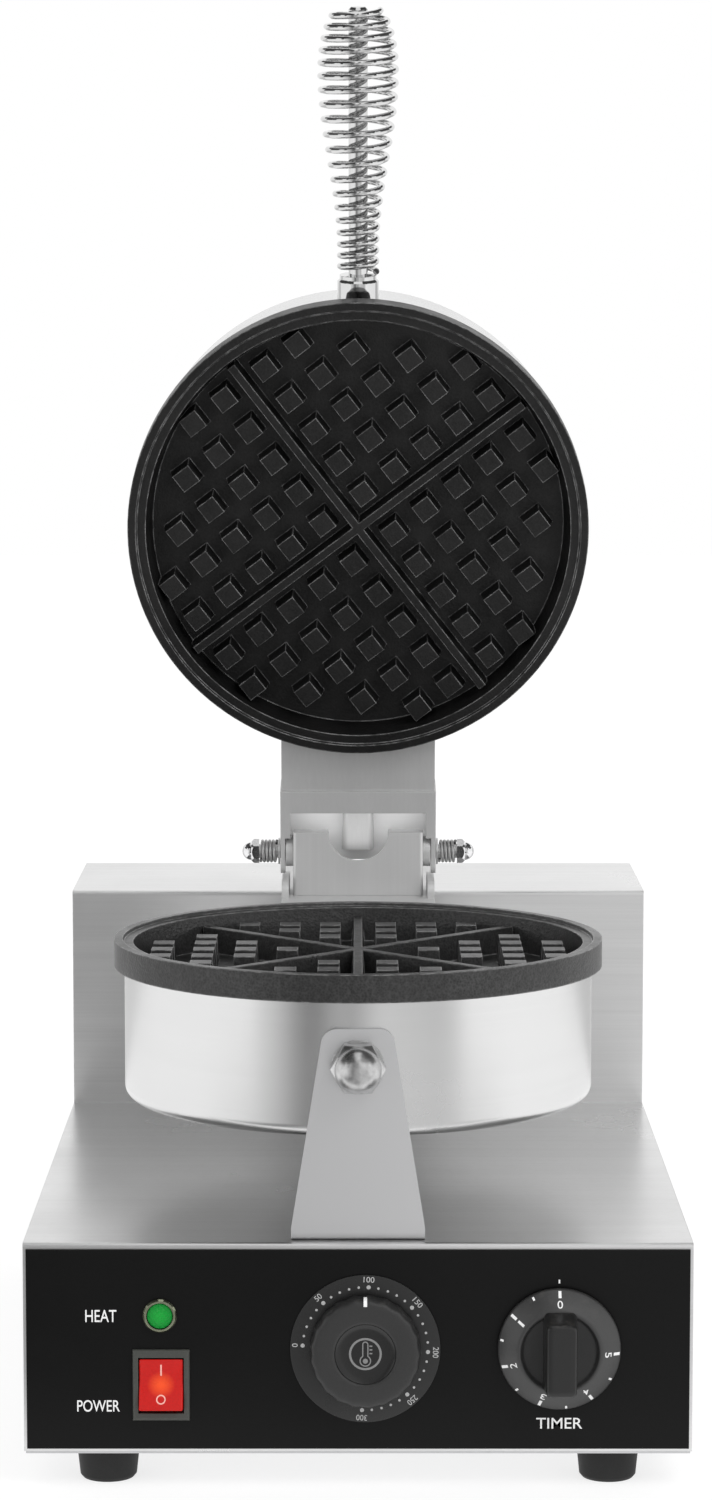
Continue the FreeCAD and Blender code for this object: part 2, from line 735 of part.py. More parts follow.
def thermostat_knob(x, z):
    """A plain round knob with a softly scalloped rim and a round dish in its face."""
    back, face = "scale_gauge + knob_gap", "thermostat_knob_depth"
    rim, dish = "thermostat_knob_radius", "thermostat_dish_radius"
    knob = turned("thermostat_knob", [("shaft_radius", back), (rim, back), (rim, f"{face} - 1"),
                                      (f"{rim} - 1.6", face), (dish, face),
                                      (f"{dish} - 0.4", f"{face} - 0.8"),
                                      ("0", f"{face} - 0.8"), ("0", f"{face} - 4"),
                                      ("shaft_radius", f"{face} - 4")])
    scallop = circle(new_sketch(knob, "top", f"{back} - 1"), "0", "thermostat_knob_radius + 5.2", "5.9")
    notch = cut(knob, scallop, f"{face} + 2")
    repeat_round(knob, notch, 16)
    node(place(knob, x, "front_y", z, (1, 0, 0), 90))


def timer():
    x, z = "timer_x", "deck_height - timer_drop"
    control_case("timer_body", x, z, "timer_body_width", "timer_body_width", "timer_body_depth")
    spindle("timer_spindle", x, z, "6", "12")
    timer_knob(x, z)


def timer_knob(x, z):
    """A skirt that carries the scale, a cone, a shallow recess and an upright grip across it."""
    face = "timer_knob_depth"
    knob = turned("timer_knob", [("shaft_radius", "knob_gap"), ("timer_skirt_radius", "knob_gap"),
                                 ("timer_skirt_radius", "3.2"), ("timer_recess_radius + 1.6", "8.4"),
                                 ("timer_recess_radius", "8.4"), ("timer_recess_radius - 0.6", "6.6"),
                                 ("0", "6.6"), ("0", "6"), ("shaft_radius", "6")])
    grip = rectangle(new_sketch(knob, "top", "6.2"), "-timer_grip_width / 2", "-timer_recess_radius + 0.2",
                     "timer_grip_width / 2", "timer_recess_radius - 0.2")
    grow(knob, grip, f"{face} - 6.2", taper=-3.0)
    soften(knob, "2", lambda edge: edge_at(edge, z=number(face)))
    node(place(knob, x, "front_y", z, (1, 0, 0), 90))


# ---------------------------------------------------------------- plates and drums
def iron_dish(name):
    """A plate's ring, stepped lip and cavity, parting face on z = 0 and opening upwards."""
    ledge = "ring_radius - lip_width"
    return turned(name, [("0", "-plate_depth"), ("drum_radius - drum_gauge", "-plate_depth"),
                         ("drum_radius - drum_gauge", "-ring_height"), ("ring_radius", "-ring_height"),
                         ("ring_radius", "0"), (ledge, "0"), (f"{ledge} - 0.4", "-ledge_drop"),
                         ("cavity_radius", "-ledge_drop"), ("cavity_floor_radius", "-cavity_depth"),
                         ("0", "-cavity_depth")])


def tapered_block(name, width, length):
    """A low block with drafted sides, seated a little into the cavity floor."""
    block = primitive("Wedge", name, Xmin=f"-{width} / 2 - peg_flare", Xmax=f"{width} / 2 + peg_flare",
                      Zmin=f"-{length} / 2 - peg_flare", Zmax=f"{length} / 2 + peg_flare",
                      X2min=f"-{width} / 2", X2max=f"{width} / 2",
                      Z2min=f"-{length} / 2", Z2max=f"{length} / 2",
                      Ymin="0", Ymax="peg_height + peg_sink")
    return block


def studded_plate(name, peg_places, rib_angles):
    """An iron plate whose cavity floor carries ribs and square pegs."""
    floor = -number("cavity_depth + peg_sink")
    upright = Rotation(Vector(1, 0, 0), 90)
    peg = tapered_block(f"{name}_peg", "peg_width", "peg_width")
    rib = tapered_block(f"{name}_rib", "(rib_width)", "(2 * cavity_floor_radius)")
    pegs = [Placement(Vector(x, y, floor), Rotation(Vector(0, 0, 1), twist) * upright)
            for x, y, twist in peg_places]
    ribs = [Placement(Vector(0, 0, floor), Rotation(Vector(0, 0, 1), angle - 90) * upright)
            for angle in rib_angles]
    return fused(name, iron_dish(f"{name}_dish"), copies(f"{name}_pegs", peg, pegs),
                 *[copies(f"{name}_rib_{step}", rib, [where]) for step, where in enumerate(ribs)])


def upper_peg_places():
    """Four equal fields of pegs between two crossed ribs, square to them."""
    start, pitch = number("upper_peg_start"), number("upper_peg_pitch")
    limit = number("cavity_floor_radius") - number("peg_width") / 2
    places = []
    for quarter in range(4):
        angle = number("upper_rib_angle") + 90 * quarter
        turned_field = Rotation(Vector(0, 0, 1), angle)
        for column in range(5):
            for row in range(5):
                spot_in_field = Vector(start + pitch * column, start + pitch * row, 0)
                if spot_in_field.Length <= limit:
                    middle = turned_field.multVec(spot_in_field)
                    places.append((middle.x, middle.y, angle))
    return places


def lower_peg_places():
    """Columns of pegs either side of the middle rib, left out where the slanted ribs cross them."""
    start, pitch = number("lower_peg_start"), number("lower_peg_pitch")
    limit = number("cavity_floor_radius") - number("peg_width") / 2
    slope = math.radians(number("lower_rib_angle"))
    room = (number("peg_width") * (math.cos(slope) + math.sin(slope)) + number("rib_width")) / 2 + 0.8
    places = []
    for side in (-1, 1):
        for column in range(5):
            for row in range(-4, 5):
                x, y = start + pitch * column, pitch * row
                off_rib = abs(abs(y) * math.cos(slope) - x * math.sin(slope))
                if math.hypot(x, y) <= limit and off_rib > room:
                    places.append((side * x, y, 0.0))
    return places


def drum(name, holes_below, holes_in_wall):
    """A spun steel cup, rim up, that fits under a plate's ring."""
    low = "-drum_depth"
    cup = turned(name, [("0", low), ("drum_radius", low), ("drum_radius", "-ring_height"),
                        ("drum_radius - drum_gauge", "-ring_height"),
                        ("drum_radius - drum_gauge", f"{low} + drum_gauge"), ("0", f"{low} + drum_gauge")])
    soften(cup, "drum_corner", lambda edge: edge_at(edge, z=number(low)) and edge.BoundBox.XLength > 100)
    soften(cup, "drum_corner - drum_gauge",
           lambda edge: edge_at(edge, z=number(f"{low} + drum_gauge")) and edge.BoundBox.XLength > 100)
    for x, y, radius in holes_below:
        drill(cup, "top", f"{low} - 1", "drum_gauge + 2", [(x, y, radius)])
    for plane_depth, x, z, radius in holes_in_wall:
        drill(cup, "front", plane_depth, "8", [(x, z, radius)])
    return cup


def element(name):
    """A ring-shaped tubular heater with two straight terminals."""
    ring = primitive("Torus", f"{name}_ring", Radius1="element_radius", Radius2="element_tube")
    place(ring, z="-plate_depth - element_tube")
    legs = []
    for side in ("-1", "1"):
        leg = primitive("Cylinder", f"{name}_leg", Radius="element_tube", Height="element_leg")
        legs.append(place(leg, f"{side} * 10", "element_radius - 1",
                          "-plate_depth - element_tube - element_leg"))
    return fused(name, ring, *legs)


def insulation(name):
    """A disc of mineral wool between the heater and the drum's floor, with a way through for the leads."""
    pad = turned(name, [("0", "-insulation_top - insulation_depth"),
                        ("insulation_radius - drum_corner", "-insulation_top - insulation_depth"),
                        ("insulation_radius - drum_corner", "-insulation_top"), ("0", "-insulation_top")])
    drill(pad, "top", "-insulation_top - insulation_depth - 1", "insulation_depth + 2",
          [("0", "conduit_setback - drum_setback", "conduit_radius + 3")])
    return pad


def lower_unit():
    under = {"y": DRUM_Y, "z": "parting_height"}
    node(place(studded_plate("lower_plate", lower_peg_places(), lower_rib_angles()), **under))
    rear_wall = "-drum_radius - 3"
    bolt_z = "tower_height - parting_height - bridge_skirt / 2"
    walls = [("drum_radius - 5", "0", "deck_height + stud_height - parting_height", "stud_radius")]
    walls += [(rear_wall, f"{side} * 20", bolt_z, "screw_radius") for side in (-1, 1)]
    below = [("0", "conduit_setback - drum_setback", "conduit_radius")]
    node(place(drum("lower_drum", below, walls), **under))
    node(place(element("lower_element"), **under))
    node(place(insulation("lower_insulation"), **under))
    conduit = turned("wire_conduit", [("conduit_bore", "-6"), ("conduit_radius", "-6"),
                                      ("conduit_radius", "parting_height - drum_depth - deck_height + 3"),
                                      ("conduit_bore", "parting_height - drum_depth - deck_height + 3")])
    node(place(conduit, "0", "front_y + conduit_setback", "deck_height"))


def lower_rib_angles():
    slope = number("lower_rib_angle")
    return [90.0, slope, 180.0 - slope]


def upper_rib_angles():
    return [number("upper_rib_angle"), number("upper_rib_angle") + 90.0]


def rounded_path(corners, bend):
    """Straight runs joined by tangent arcs of one radius."""
    edges = []
    start = corners[0]
    for before, corner, after in zip(corners, corners[1:], corners[2:]):
        back, ahead = (before - corner).normalize(), (after - corner).normalize()
        half = back.getAngle(ahead) / 2
        trim = bend / math.tan(half)
        middle = corner + (back + ahead).normalize() * (bend / math.sin(half) - bend)
        edges.append(Part.LineSegment(start, corner + back * trim).toShape())
        edges.append(Part.Arc(corner + back * trim, middle, corner + ahead * trim).toShape())
        start = corner + ahead * trim
    edges.append(Part.LineSegment(start, corners[-1]).toShape())
    return Part.Wire(edges)


def capillary():
    """The thermostat's thin tube, through the conduit, to its sensing bulb under the lower plate."""
    x = number("thermostat_x")
    tail = number("front_y + facing_gauge + shell_gauge + thermostat_body_depth")
    rise_y, bulb_z = number("front_y + conduit_setback"), number("parting_height - plate_depth") - 3.2
    low_z = number("deck_height - thermostat_drop")
    path = rounded_path([Vector(x, tail, low_z), Vector(x, rise_y, low_z), Vector(x, rise_y, bulb_z),
                         Vector(x, rise_y + 20, bulb_z)], 7.0)
    section = Part.Wire([Part.makeCircle(1.0, Vector(x, tail, low_z), Vector(0, 1, 0))])
    tube = path.makePipeShell([section], True, True)
    bulb = Part.makeCylinder(3.0, 46.0, Vector(x, rise_y + 19, bulb_z), Vector(0, 1, 0))
    whole = doc.addObject("Part::Feature", "thermostat_bulb")
    whole.Shape = tube.fuse(bulb)
    node(whole)


# ---------------------------------------------------------------- front bracket
def bracket_screw_spots():
    return [(f"{side} * 14", "front_y + drum_setback - drum_radius + bracket_foot - 12") for side in (-1, 1)]


def front_bracket():
    bracket = node(new_body("front_bracket"))
    back = "(front_y + drum_setback - drum_radius)"
    face = f"({back} - bracket_gauge)"
    top = "(deck_height + bracket_height)"
    profile = [(face, "deck_height"), (face, top), (back, top), (back, "deck_height + bracket_gauge"),
               (f"{back} + bracket_foot", "deck_height + bracket_gauge"),
               (f"{back} + bracket_foot", "deck_height")]
    grow(bracket, outline(new_sketch(bracket, "side", "-bracket_width / 2"), profile), "bracket_width")
    y0, z0 = number(face), number("deck_height")
    soften(bracket, "bracket_gauge * 1.5", lambda edge: edge_at(edge, y=y0, z=z0))
    narrow = "(bracket_top_width / 2)"
    for side in ("-", ""):
        wedge = outline(new_sketch(bracket, "front", f"-({back} + 1)"),
                        [(f"{side}bracket_width / 2", "deck_height + 5"), (f"{side}{narrow}", f"{top} + 1"),
                         (f"{side}(bracket_width / 2 + 1)", f"{top} + 1"),
                         (f"{side}(bracket_width / 2 + 1)", "deck_height + 5")])
        cut(bracket, wedge, "bracket_gauge + 2")
    top_z = number(top)
    soften(bracket, "bracket_corner",
           lambda edge: edge.BoundBox.YLength > 1 and edge_at(edge, z=top_z) and edge.BoundBox.XLength < 0.01)
    drill(bracket, "front", f"-({back} + 1)", "bracket_gauge + 2",
          [("0", "deck_height + stud_height", "stud_radius")])
    drill(bracket, "top", "deck_height - 1", "bracket_gauge + 2",
          [(x, y, "screw_radius") for x, y in bracket_screw_spots()])
    stud = hex_bolt("drum_stud", "stud_head_flats", "stud_head_height", "stud_radius",
                    "stud_standoff + drum_gauge + bracket_gauge + acorn_bore_depth + 0.5")
    at_stud = {"z": "deck_height + stud_height", "axis": (1, 0, 0), "angle": 90}
    node(place(stud, y=f"{back} + drum_gauge + stud_standoff", **at_stud))
    disc = washer("bracket_washer", "acorn_flats / 2 + 1", "stud_radius", "1")
    node(place(disc, y=face, **at_stud))
    nut = acorn_nut("bracket_nut", "acorn_flats", "acorn_hex_height", "acorn_dome_radius", "stud_radius",
                    "acorn_bore_depth")
    node(place(nut, y=f"{face} - 1", **at_stud))


# ---------------------------------------------------------------- hinge
def bridge_screw_spots():
    return [(f"{side} * 22", f"front_y + tower_setback + {back}") for side in (-1, 1) for back in (14, 44)]


def hinge_floor_spots():
    return [(f"{side} * 16", HINGE_Y) for side in (-1, 1)]


def hinge_bridge():
    """The strap that carries the hinge: bolted to the drum in front and to the tower's top behind."""
    bridge = node(new_body("hinge_bridge"))
    start, end = "(front_y + bridge_start)", "(front_y + bridge_end)"
    low = "(tower_height - bridge_skirt)"
    profile = [(start, low), (start, BRIDGE_TOP), (end, BRIDGE_TOP), (end, "tower_height"),
               (f"{start} + tab_gauge", "tower_height"), (f"{start} + tab_gauge", low)]
    grow(bridge, outline(new_sketch(bridge, "side", "-bridge_width / 2"), profile), "bridge_width")
    y0, z0 = number(start), number(BRIDGE_TOP)
    soften(bridge, "bridge_gauge", lambda edge: edge_at(edge, y=y0, z=z0))
    edge_x = "bridge_width / 2"
    for low_x in (f"-{edge_x}", f"{edge_x} - tab_gauge"):
        tab = rectangle(new_sketch(bridge, "side", low_x),
                        f"{HINGE_Y} - tab_length / 2", f"{BRIDGE_TOP} - 0.5",
                        f"{HINGE_Y} + tab_length / 2", f"{BRIDGE_TOP} + tab_height")
        grow(bridge, tab, "tab_gauge")
    tab_top = number(f"{BRIDGE_TOP} + tab_height")
    soften(bridge, "5", lambda edge: edge_at(edge, z=tab_top) and edge.BoundBox.YLength < 0.01)
    drill(bridge, "top", "tower_height - 1", "bridge_gauge + 2",
          [(x, y, "screw_radius") for x, y in bridge_screw_spots() + hinge_floor_spots()])
    bolts = [(f"{side} * 20", "tower_height - bridge_skirt / 2", "screw_radius") for side in (-1, 1)]
    drill(bridge, "front", f"-({start} + tab_gauge + 1)", "tab_gauge + 2", bolts)
    drum_bolts(start)


def drum_bolts(start):
    """Two screws through the bridge's skirt and spacers into the drum's back wall."""
    wall = f"({DRUM_Y} + sqrt(drum_radius * drum_radius - 400))"
    height = "tower_height - bridge_skirt / 2"
    long_screw = pan_screw("drum_bolt_shape", f"(tab_gauge + {start} - {wall} + 5)")
    heads = [spot(f"{side} * 20", f"{start} + tab_gauge", height, (1, 0, 0), -90) for side in (-1, 1)]
    node(copies("drum_bolts", long_screw, heads))
    sleeve = washer("drum_spacer_shape", "screw_radius + 2.5", "screw_radius", f"{start} - {wall} - 1.2")
    seats = [spot(f"{side} * 20", start, height, (1, 0, 0), 90) for side in (-1, 1)]
    node(copies("drum_spacers", sleeve, seats))


def hinge_bracket():
    """A folded seat with two ears and a notch that the lid's wire duct drops into when it closes."""
    seat = node(new_body("hinge_bracket"))
    front, back = f"({HINGE_Y} - hinge_front)", f"({HINGE_Y} + hinge_back)"
    top = f"({HINGE_Z} + hinge_top)"
    half = "(hinge_width / 2)"
    block = rectangle(new_sketch(seat, "top", BRIDGE_TOP), f"-{half}", front, half, back)
    grow(seat, block, f"{top} - {BRIDGE_TOP}")
    back_y, top_z = number(back), number(top)
    soften(seat, "hinge_bend", lambda edge: edge_at(edge, y=back_y, z=top_z))
    soften(seat, "1.5", lambda edge: edge.BoundBox.ZLength > 10 and edge_at(edge, y=number(front)))
    inner = rectangle(new_sketch(seat, "top", f"{BRIDGE_TOP} + hinge_gauge"), f"hinge_gauge - {half}",
                      f"{front} + hinge_gauge", f"{half} - hinge_gauge", f"{back} + 1")
    cut(seat, inner, f"{top} - {BRIDGE_TOP} - 2 * hinge_gauge")
    notch = circle(new_sketch(seat, "front", f"-({back} + 1)"), "0",
                   f"{HINGE_Z} + notch_lift", "notch_radius")
    cut(seat, notch, "hinge_front + hinge_back + 2")
    drill(seat, "side", "-base_width / 2", "base_width", [(HINGE_Y, HINGE_Z, "hinge_bolt_radius")])
    drill(seat, "top", f"{BRIDGE_TOP} - 1", "hinge_gauge + 2",
          [(x, y, "screw_radius") for x, y in hinge_floor_spots()])


def sideways(x):
    """Both ends of the hinge axis, each looking outwards, at x from the middle."""
    return [spot(f"{side} * ({x})", HINGE_Y, HINGE_Z, (0, 1, 0), side * 90) for side in (-1, 1)]


def wound_wire(name, points, wire):
    """A solid wire through the points of a helix; its volume is compared with length times section."""
    curve = Part.BSplineCurve()
    curve.interpolate(points)
    start = curve.FirstParameter
    section = Part.Wire([Part.makeCircle(wire, curve.value(start), curve.tangent(start)[0])])
    path = Part.Wire([curve.toShape()])
    item = doc.addObject("Part::Feature", name)
    item.Shape = path.makePipeShell([section], True, True)
    expected = path.Length * math.pi * wire * wire
    if abs(item.Shape.Volume / expected - 1) > 0.02:
        raise RuntimeError(f"the volume of {name} is off")
    return item


def spring_points():
    """Points of the hinge spring: one radius, one pitch; its sizes are read from the sheet."""
    turns, wire = number("spring_turns"), number("spring_wire")
    rise = number("spring_length") - 2 * wire
    steps = int(turns * POINTS_PER_TURN)
    points = []
    for step in range(steps + 1):
        angle = 2 * math.pi * turns * step / steps
        across = Vector(math.cos(angle), math.sin(angle), 0) * number("spring_radius")
        points.append(across + Vector(0, 0, wire + rise * step / steps))
    return points


def hinge_fasteners():
    """Bolts, washers, springs and cap nuts: they press the lid's ears so that it stays where it is put."""
    ear_outside = "yoke_width / 2"
    spring_seat = f"{ear_outside} + 1.0"
    head_seat = "hinge_width / 2 - hinge_gauge"
    nut_seat = f"{spring_seat} + spring_length"
    bolt = hex_bolt("hinge_bolt_shape", "hinge_head_flats", "hinge_head_height", "hinge_bolt_radius",
                    f"{nut_seat} + cap_bore_depth - ({head_seat})")
    node(copies("hinge_bolts", bolt, sideways(head_seat)))
    inner_gap = "(yoke_width / 2 - yoke_gauge - hinge_width / 2 - 0.25)"
    inside = washer("inner_washer_shape", "spacer_radius", "hinge_bolt_radius", inner_gap)
    node(copies("hinge_spacers", inside, sideways("hinge_width / 2")))
    outside = washer("outer_washer_shape", "hinge_washer_radius", "hinge_bolt_radius", "0.75")
    node(copies("hinge_washers", outside, sideways(f"{ear_outside} + 0.25")))
    spring = wound_wire("hinge_spring_shape", spring_points(), number("spring_wire"))
    node(copies("hinge_springs", spring, sideways(spring_seat)))
    cap = acorn_nut("hinge_cap_shape", "cap_flats", "cap_hex_height", "cap_dome_radius", "hinge_bolt_radius",
                    "cap_bore_depth")
    node(copies("hinge_cap_nuts", cap, sideways(nut_seat)))


# ---------------------------------------------------------------- lid
def lid_unit():
    over = {"axis": (0, 1, 0), "angle": 180}
    node(on_lid(studded_plate("upper_plate", upper_peg_places(), upper_rib_angles()), **over))
    saddle_bolts = lid_bolt_angles()
    lid_drum = drum("upper_drum", [], [("drum_radius - 5", "0", "-handle_lift", "rod_radius")])
    for angle in saddle_bolts:
        x = f"-(drum_radius - drum_gauge / 2) * sin({angle})"
        drill(lid_drum, "front", "-drum_radius - 3", "8", [(x, "-saddle_bolt_height", "screw_radius + 0.4")])
    node(on_lid(lid_drum, **over))
    node(on_lid(element("upper_element"), **over))
    node(on_lid(insulation("upper_insulation"), **over))


def lid_bolt_angles():
    return (-number("saddle_bolt_angle"), number("saddle_bolt_angle"))


def lid_arm():
    """A channel whose end is curved to the drum's wall, with lips for the cover's screws."""
    half, top = "arm_width / 2", "(arm_floor + arm_height)"
    outside = primitive("Box", "arm_outside", Length="arm_width", Width="arm_end - 80", Height="arm_height")
    place(outside, f"-({half})", "80", "arm_floor")
    drum_side = primitive("Cylinder", "arm_drum_side", Radius="drum_radius", Height="arm_height + 2")
    place(drum_side, z="arm_floor - 1")
    blank = cut_from("arm_blank", outside, drum_side)
    inside = primitive("Box", "arm_inside", Length="arm_width - 2 * arm_gauge", Width="arm_end - 60",
                       Height="arm_height - 2 * arm_gauge")
    place(inside, f"arm_gauge - {half}", "80", "arm_floor + arm_gauge")
    saddle = primitive("Cylinder", "arm_saddle", Radius="drum_radius + arm_gauge", Height="arm_height + 2")
    place(saddle, z="arm_floor - 1")
    hollow = cut_from("arm_hollow", inside, saddle)
    mouth = primitive("Box", "arm_mouth", Length="arm_width - 2 * (arm_gauge + arm_lip)",
                      Width="arm_end - 60", Height="arm_gauge * 2")
    place(mouth, f"arm_gauge + arm_lip - {half}", "drum_radius + 3", f"{top} - arm_gauge * 1.5")
    channel = cut_from("arm_channel", blank, fused("arm_room", hollow, mouth))
    tongue = primitive("Box", "arm_tongue", Length="yoke_width - 2 * yoke_gauge - 1", Width="9.5",
                       Height="arm_gauge")
    place(tongue, "-(yoke_width - 2 * yoke_gauge - 1) / 2", "arm_end - 0.5", "arm_floor")
    holes = [bore_tool("arm_rivet_hole", "rivet_radius", "6", x, y, "arm_floor - 2")
             for x, y in rivet_spots()]
    holes += [bore_tool("arm_screw_hole", "screw_radius", "6", x, y, f"{top} - 4")
              for x, y in arm_cover_spots()]
    for angle in lid_bolt_angles():
        hole = primitive("Cylinder", "arm_bolt_hole", Radius="screw_radius", Height="8")
        hole.Placement = lid_bolt_place(angle, "drum_radius - 3")
        holes.append(hole)
    arm = cut_from("lid_arm", fused("arm_with_tongue", channel, tongue), fused("arm_holes", *holes))
    node(on_lid(arm))
    seats = [lid_bolt_place(angle, "drum_radius + arm_gauge") for angle in lid_bolt_angles()]
    node(on_lid(copies("lid_arm_bolts", pan_screw("lid_bolt_shape"), seats)))


def bore_tool(name, radius, length, x, y, z):
    return place(primitive("Cylinder", name, Radius=radius, Height=length), x, y, z)


def lid_bolt_place(angle, reach):
    """A place on the drum's back wall, angle degrees round from the hinge, looking outwards."""
    turn_round = Rotation(Vector(0, 0, 1), angle) * Rotation(Vector(1, 0, 0), -90)
    outward = turn_round.multVec(Vector(0, 0, 1))
    middle = Vector(0, 0, number("saddle_bolt_height"))
    return Placement(middle + outward * number(reach), turn_round)


def rivet_spots():
    return [(x, "arm_end + 4.8") for x in ("-24", "-10", "10", "24")]


def arm_cover_spots():
    side = "(arm_width / 2 - arm_gauge - arm_lip / 2)"
    return [(f"{sign} * {side}", y) for sign in (-1, 1) for y in ("100", "111")]


def hinge_yoke():
    """The lid's fork: two ears on the hinge bolts and a window that the fixed seat passes through."""
    yoke = new_body("hinge_yoke")
    half = "(yoke_width / 2)"
    floor = "(arm_floor - yoke_gauge)"
    top = "(arm_floor + arm_height)"
    tail = "(hinge_reach + yoke_ear)"
    profile = [("arm_end", floor), ("arm_end", top), ("hinge_reach", top),
               ("hinge_reach", f"{AXIS_LIFT} + yoke_ear"), (tail, f"{AXIS_LIFT} + yoke_ear"), (tail, floor)]
    grow(yoke, outline(new_sketch(yoke, "side", f"-{half}"), profile), "yoke_width")
    tail_y, ear_z = number(tail), number(f"{AXIS_LIFT} + yoke_ear")
    soften(yoke, "yoke_ear - 0.3", lambda edge: edge_at(edge, y=tail_y, z=ear_z))
    floor_z = number(floor)
    soften(yoke, "4", lambda edge: edge_at(edge, y=tail_y, z=floor_z))
    inner = rectangle(new_sketch(yoke, "top", "arm_floor"), f"yoke_gauge - {half}", "arm_end - 1",
                      f"{half} - yoke_gauge", f"{tail} + 1")
    cut(yoke, inner, "arm_height + 1")
    window = rectangle(new_sketch(yoke, "top", f"{floor} - 1"), "-window_width / 2",
                       "hinge_reach - window_reach", "window_width / 2", f"{tail} + 1")
    cut(yoke, window, "yoke_gauge + 2")
    relief = rectangle(new_sketch(yoke, "top", f"{floor} - 1"), f"yoke_gauge - {half}",
                       "hinge_reach - spacer_radius - 0.7", f"{half} - yoke_gauge", f"{tail} + 1")
    cut(yoke, relief, "yoke_gauge + 2")
    drill(yoke, "side", "-base_width / 2", "base_width",
          [("hinge_reach", AXIS_LIFT, "hinge_bolt_radius + hinge_bolt_clearance")])
    drill(yoke, "top", f"{floor} + rivet_skin", "yoke_gauge + 2",
          [(x, y, "rivet_radius") for x, y in rivet_spots()])
    node(on_lid(yoke))
    tail = "-(yoke_gauge + arm_gauge - rivet_skin)"
    rivet = turned("rivet_shape", [("0", tail), ("rivet_radius", tail), ("rivet_radius", "0"),
                                   ("3", "0"), ("2.2", "1.2"), ("0", "1.5")])
    rivets = copies("yoke_rivets", rivet, [spot(x, y, "arm_floor + arm_gauge") for x, y in rivet_spots()])
    node(on_lid(rivets))


def lid_arm_cover():
    """The plate over the arm: on top when the lid is shut, behind the hinge when it is open."""
    cover = new_body("lid_arm_cover")
    top = "(arm_floor + arm_height)"
    sketch = new_sketch(cover, "top", top)
    rectangle(sketch, "-arm_width / 2", "drum_radius + 0.4", "arm_width / 2", "hinge_reach + arm_cover_tail")
    for x, y in arm_cover_spots():
        circle(sketch, x, y, "screw_radius")
    grow(cover, sketch, "arm_cover_gauge")
    tail = number("hinge_reach + arm_cover_tail")
    soften(cover, "3", lambda edge: edge.BoundBox.ZLength > 1 and edge_at(edge, y=tail))
    node(on_lid(cover))
    screw = pan_screw("arm_cover_screw_shape", "5")
    screws = [spot(x, y, f"{top} + arm_cover_gauge") for x, y in arm_cover_spots()]
    node(on_lid(copies("arm_cover_screws", screw, screws)))


def wire_duct():
    """A small channel under the cover that leads the lid's wires past the hinge."""
    duct = new_body("wire_duct")
    top, wall = "(arm_floor + arm_height)", "1"
    start, end = "(hinge_reach - duct_length)", "hinge_reach"
    half = "(duct_width / 2)"
    grow(duct, outline(new_sketch(duct, "top", f"{top} - duct_height"),
                       [(f"-{half} + 0.9", start), (f"{half} - 0.9", start), (half, end), (f"-{half}", end)]),
         "duct_height")
    low = number(f"{top} - duct_height")
    soften(duct, "3", lambda edge: edge_at(edge, z=low) and edge.BoundBox.YLength > 10)
    room = rectangle(new_sketch(duct, "top", f"{top} - duct_height + {wall}"),
                     f"-{half} + 0.9 + {wall}", f"{start} - 1", f"{half} - 0.9 - {wall}", f"{end} + 1")
    cut(duct, room, "duct_height")
    node(on_lid(duct))


# ---------------------------------------------------------------- handle
def coil_radius(along):
    """The coil's radius: a straight neck, a belly and a closed crown."""
    neck, belly, crown = number("coil_neck"), number("coil_belly"), number("coil_crown")
    neck_end, belly_at, end = number("coil_neck_length"), number("coil_belly_at"), number("coil_length")
    if along <= neck_end:
        return neck
    if along <= belly_at:
        share = (along - neck_end) / (belly_at - neck_end)
        return neck + (belly - neck) * (1 - math.cos(math.pi * share)) / 2
    share = (along - belly_at) / (end - belly_at)
    return crown + (belly - crown) * math.sqrt(max(0.0, 1 - share * share))


def handle_coil():
    """One wire wound about the rod; its sizes are read from the sheet."""
    turns, length, wire = number("coil_turns"), number("coil_length"), number("coil_wire")
    steps = int(turns * POINTS_PER_TURN)
    points = []
    for step in range(steps + 1):
        share = step / steps
        crowded = share - number("coil_crowding") * math.sin(2 * math.pi * share) / (2 * math.pi)
        along = wire + (length - 2 * wire) * crowded
        angle = 2 * math.pi * turns * share
        radius = coil_radius(along)
        points.append(Vector(radius * math.cos(angle), radius * math.sin(angle), along))
    return wound_wire("handle_coil", points, wire)


def handle():
    """Rod, ferrule, coil and end nut, square to the drum's wall and pointing away from the hinge."""
    outward = {"z": "handle_lift", "axis": (1, 0, 0), "angle": 90}
    seat, coil_start = "drum_radius", "(drum_radius + ferrule_length)"
    ferrule = turned("handle_ferrule", [("rod_radius", "0"), ("ferrule_radius", "0"),
                                        ("ferrule_radius", "ferrule_length - 2.6"),
                                        ("ferrule_radius - 1", "ferrule_length - 1.6"),
                                        ("ferrule_radius - 1", "ferrule_length"),
                                        ("rod_radius", "ferrule_length")])
    node(on_lid(ferrule, y=f"-{seat}", **outward))
    rod_end = "(ferrule_length + coil_length - 1)"
    rod = turned("handle_rod", [("0", "-rod_inside"), ("rod_radius", "-rod_inside"), ("rod_radius", rod_end),
                                ("rod_radius - 1", f"{rod_end} + 1"), ("0", f"{rod_end} + 1")])
    node(on_lid(rod, y=f"-{seat}", **outward))
    node(on_lid(handle_coil(), y=f"-{coil_start}", **outward))
    nut = plain_nut("handle_nut", "handle_nut_flats", "handle_nut_height", "rod_radius")
    node(on_lid(nut, y="-(drum_radius - drum_gauge - handle_nut_height - 0.6)", **outward))


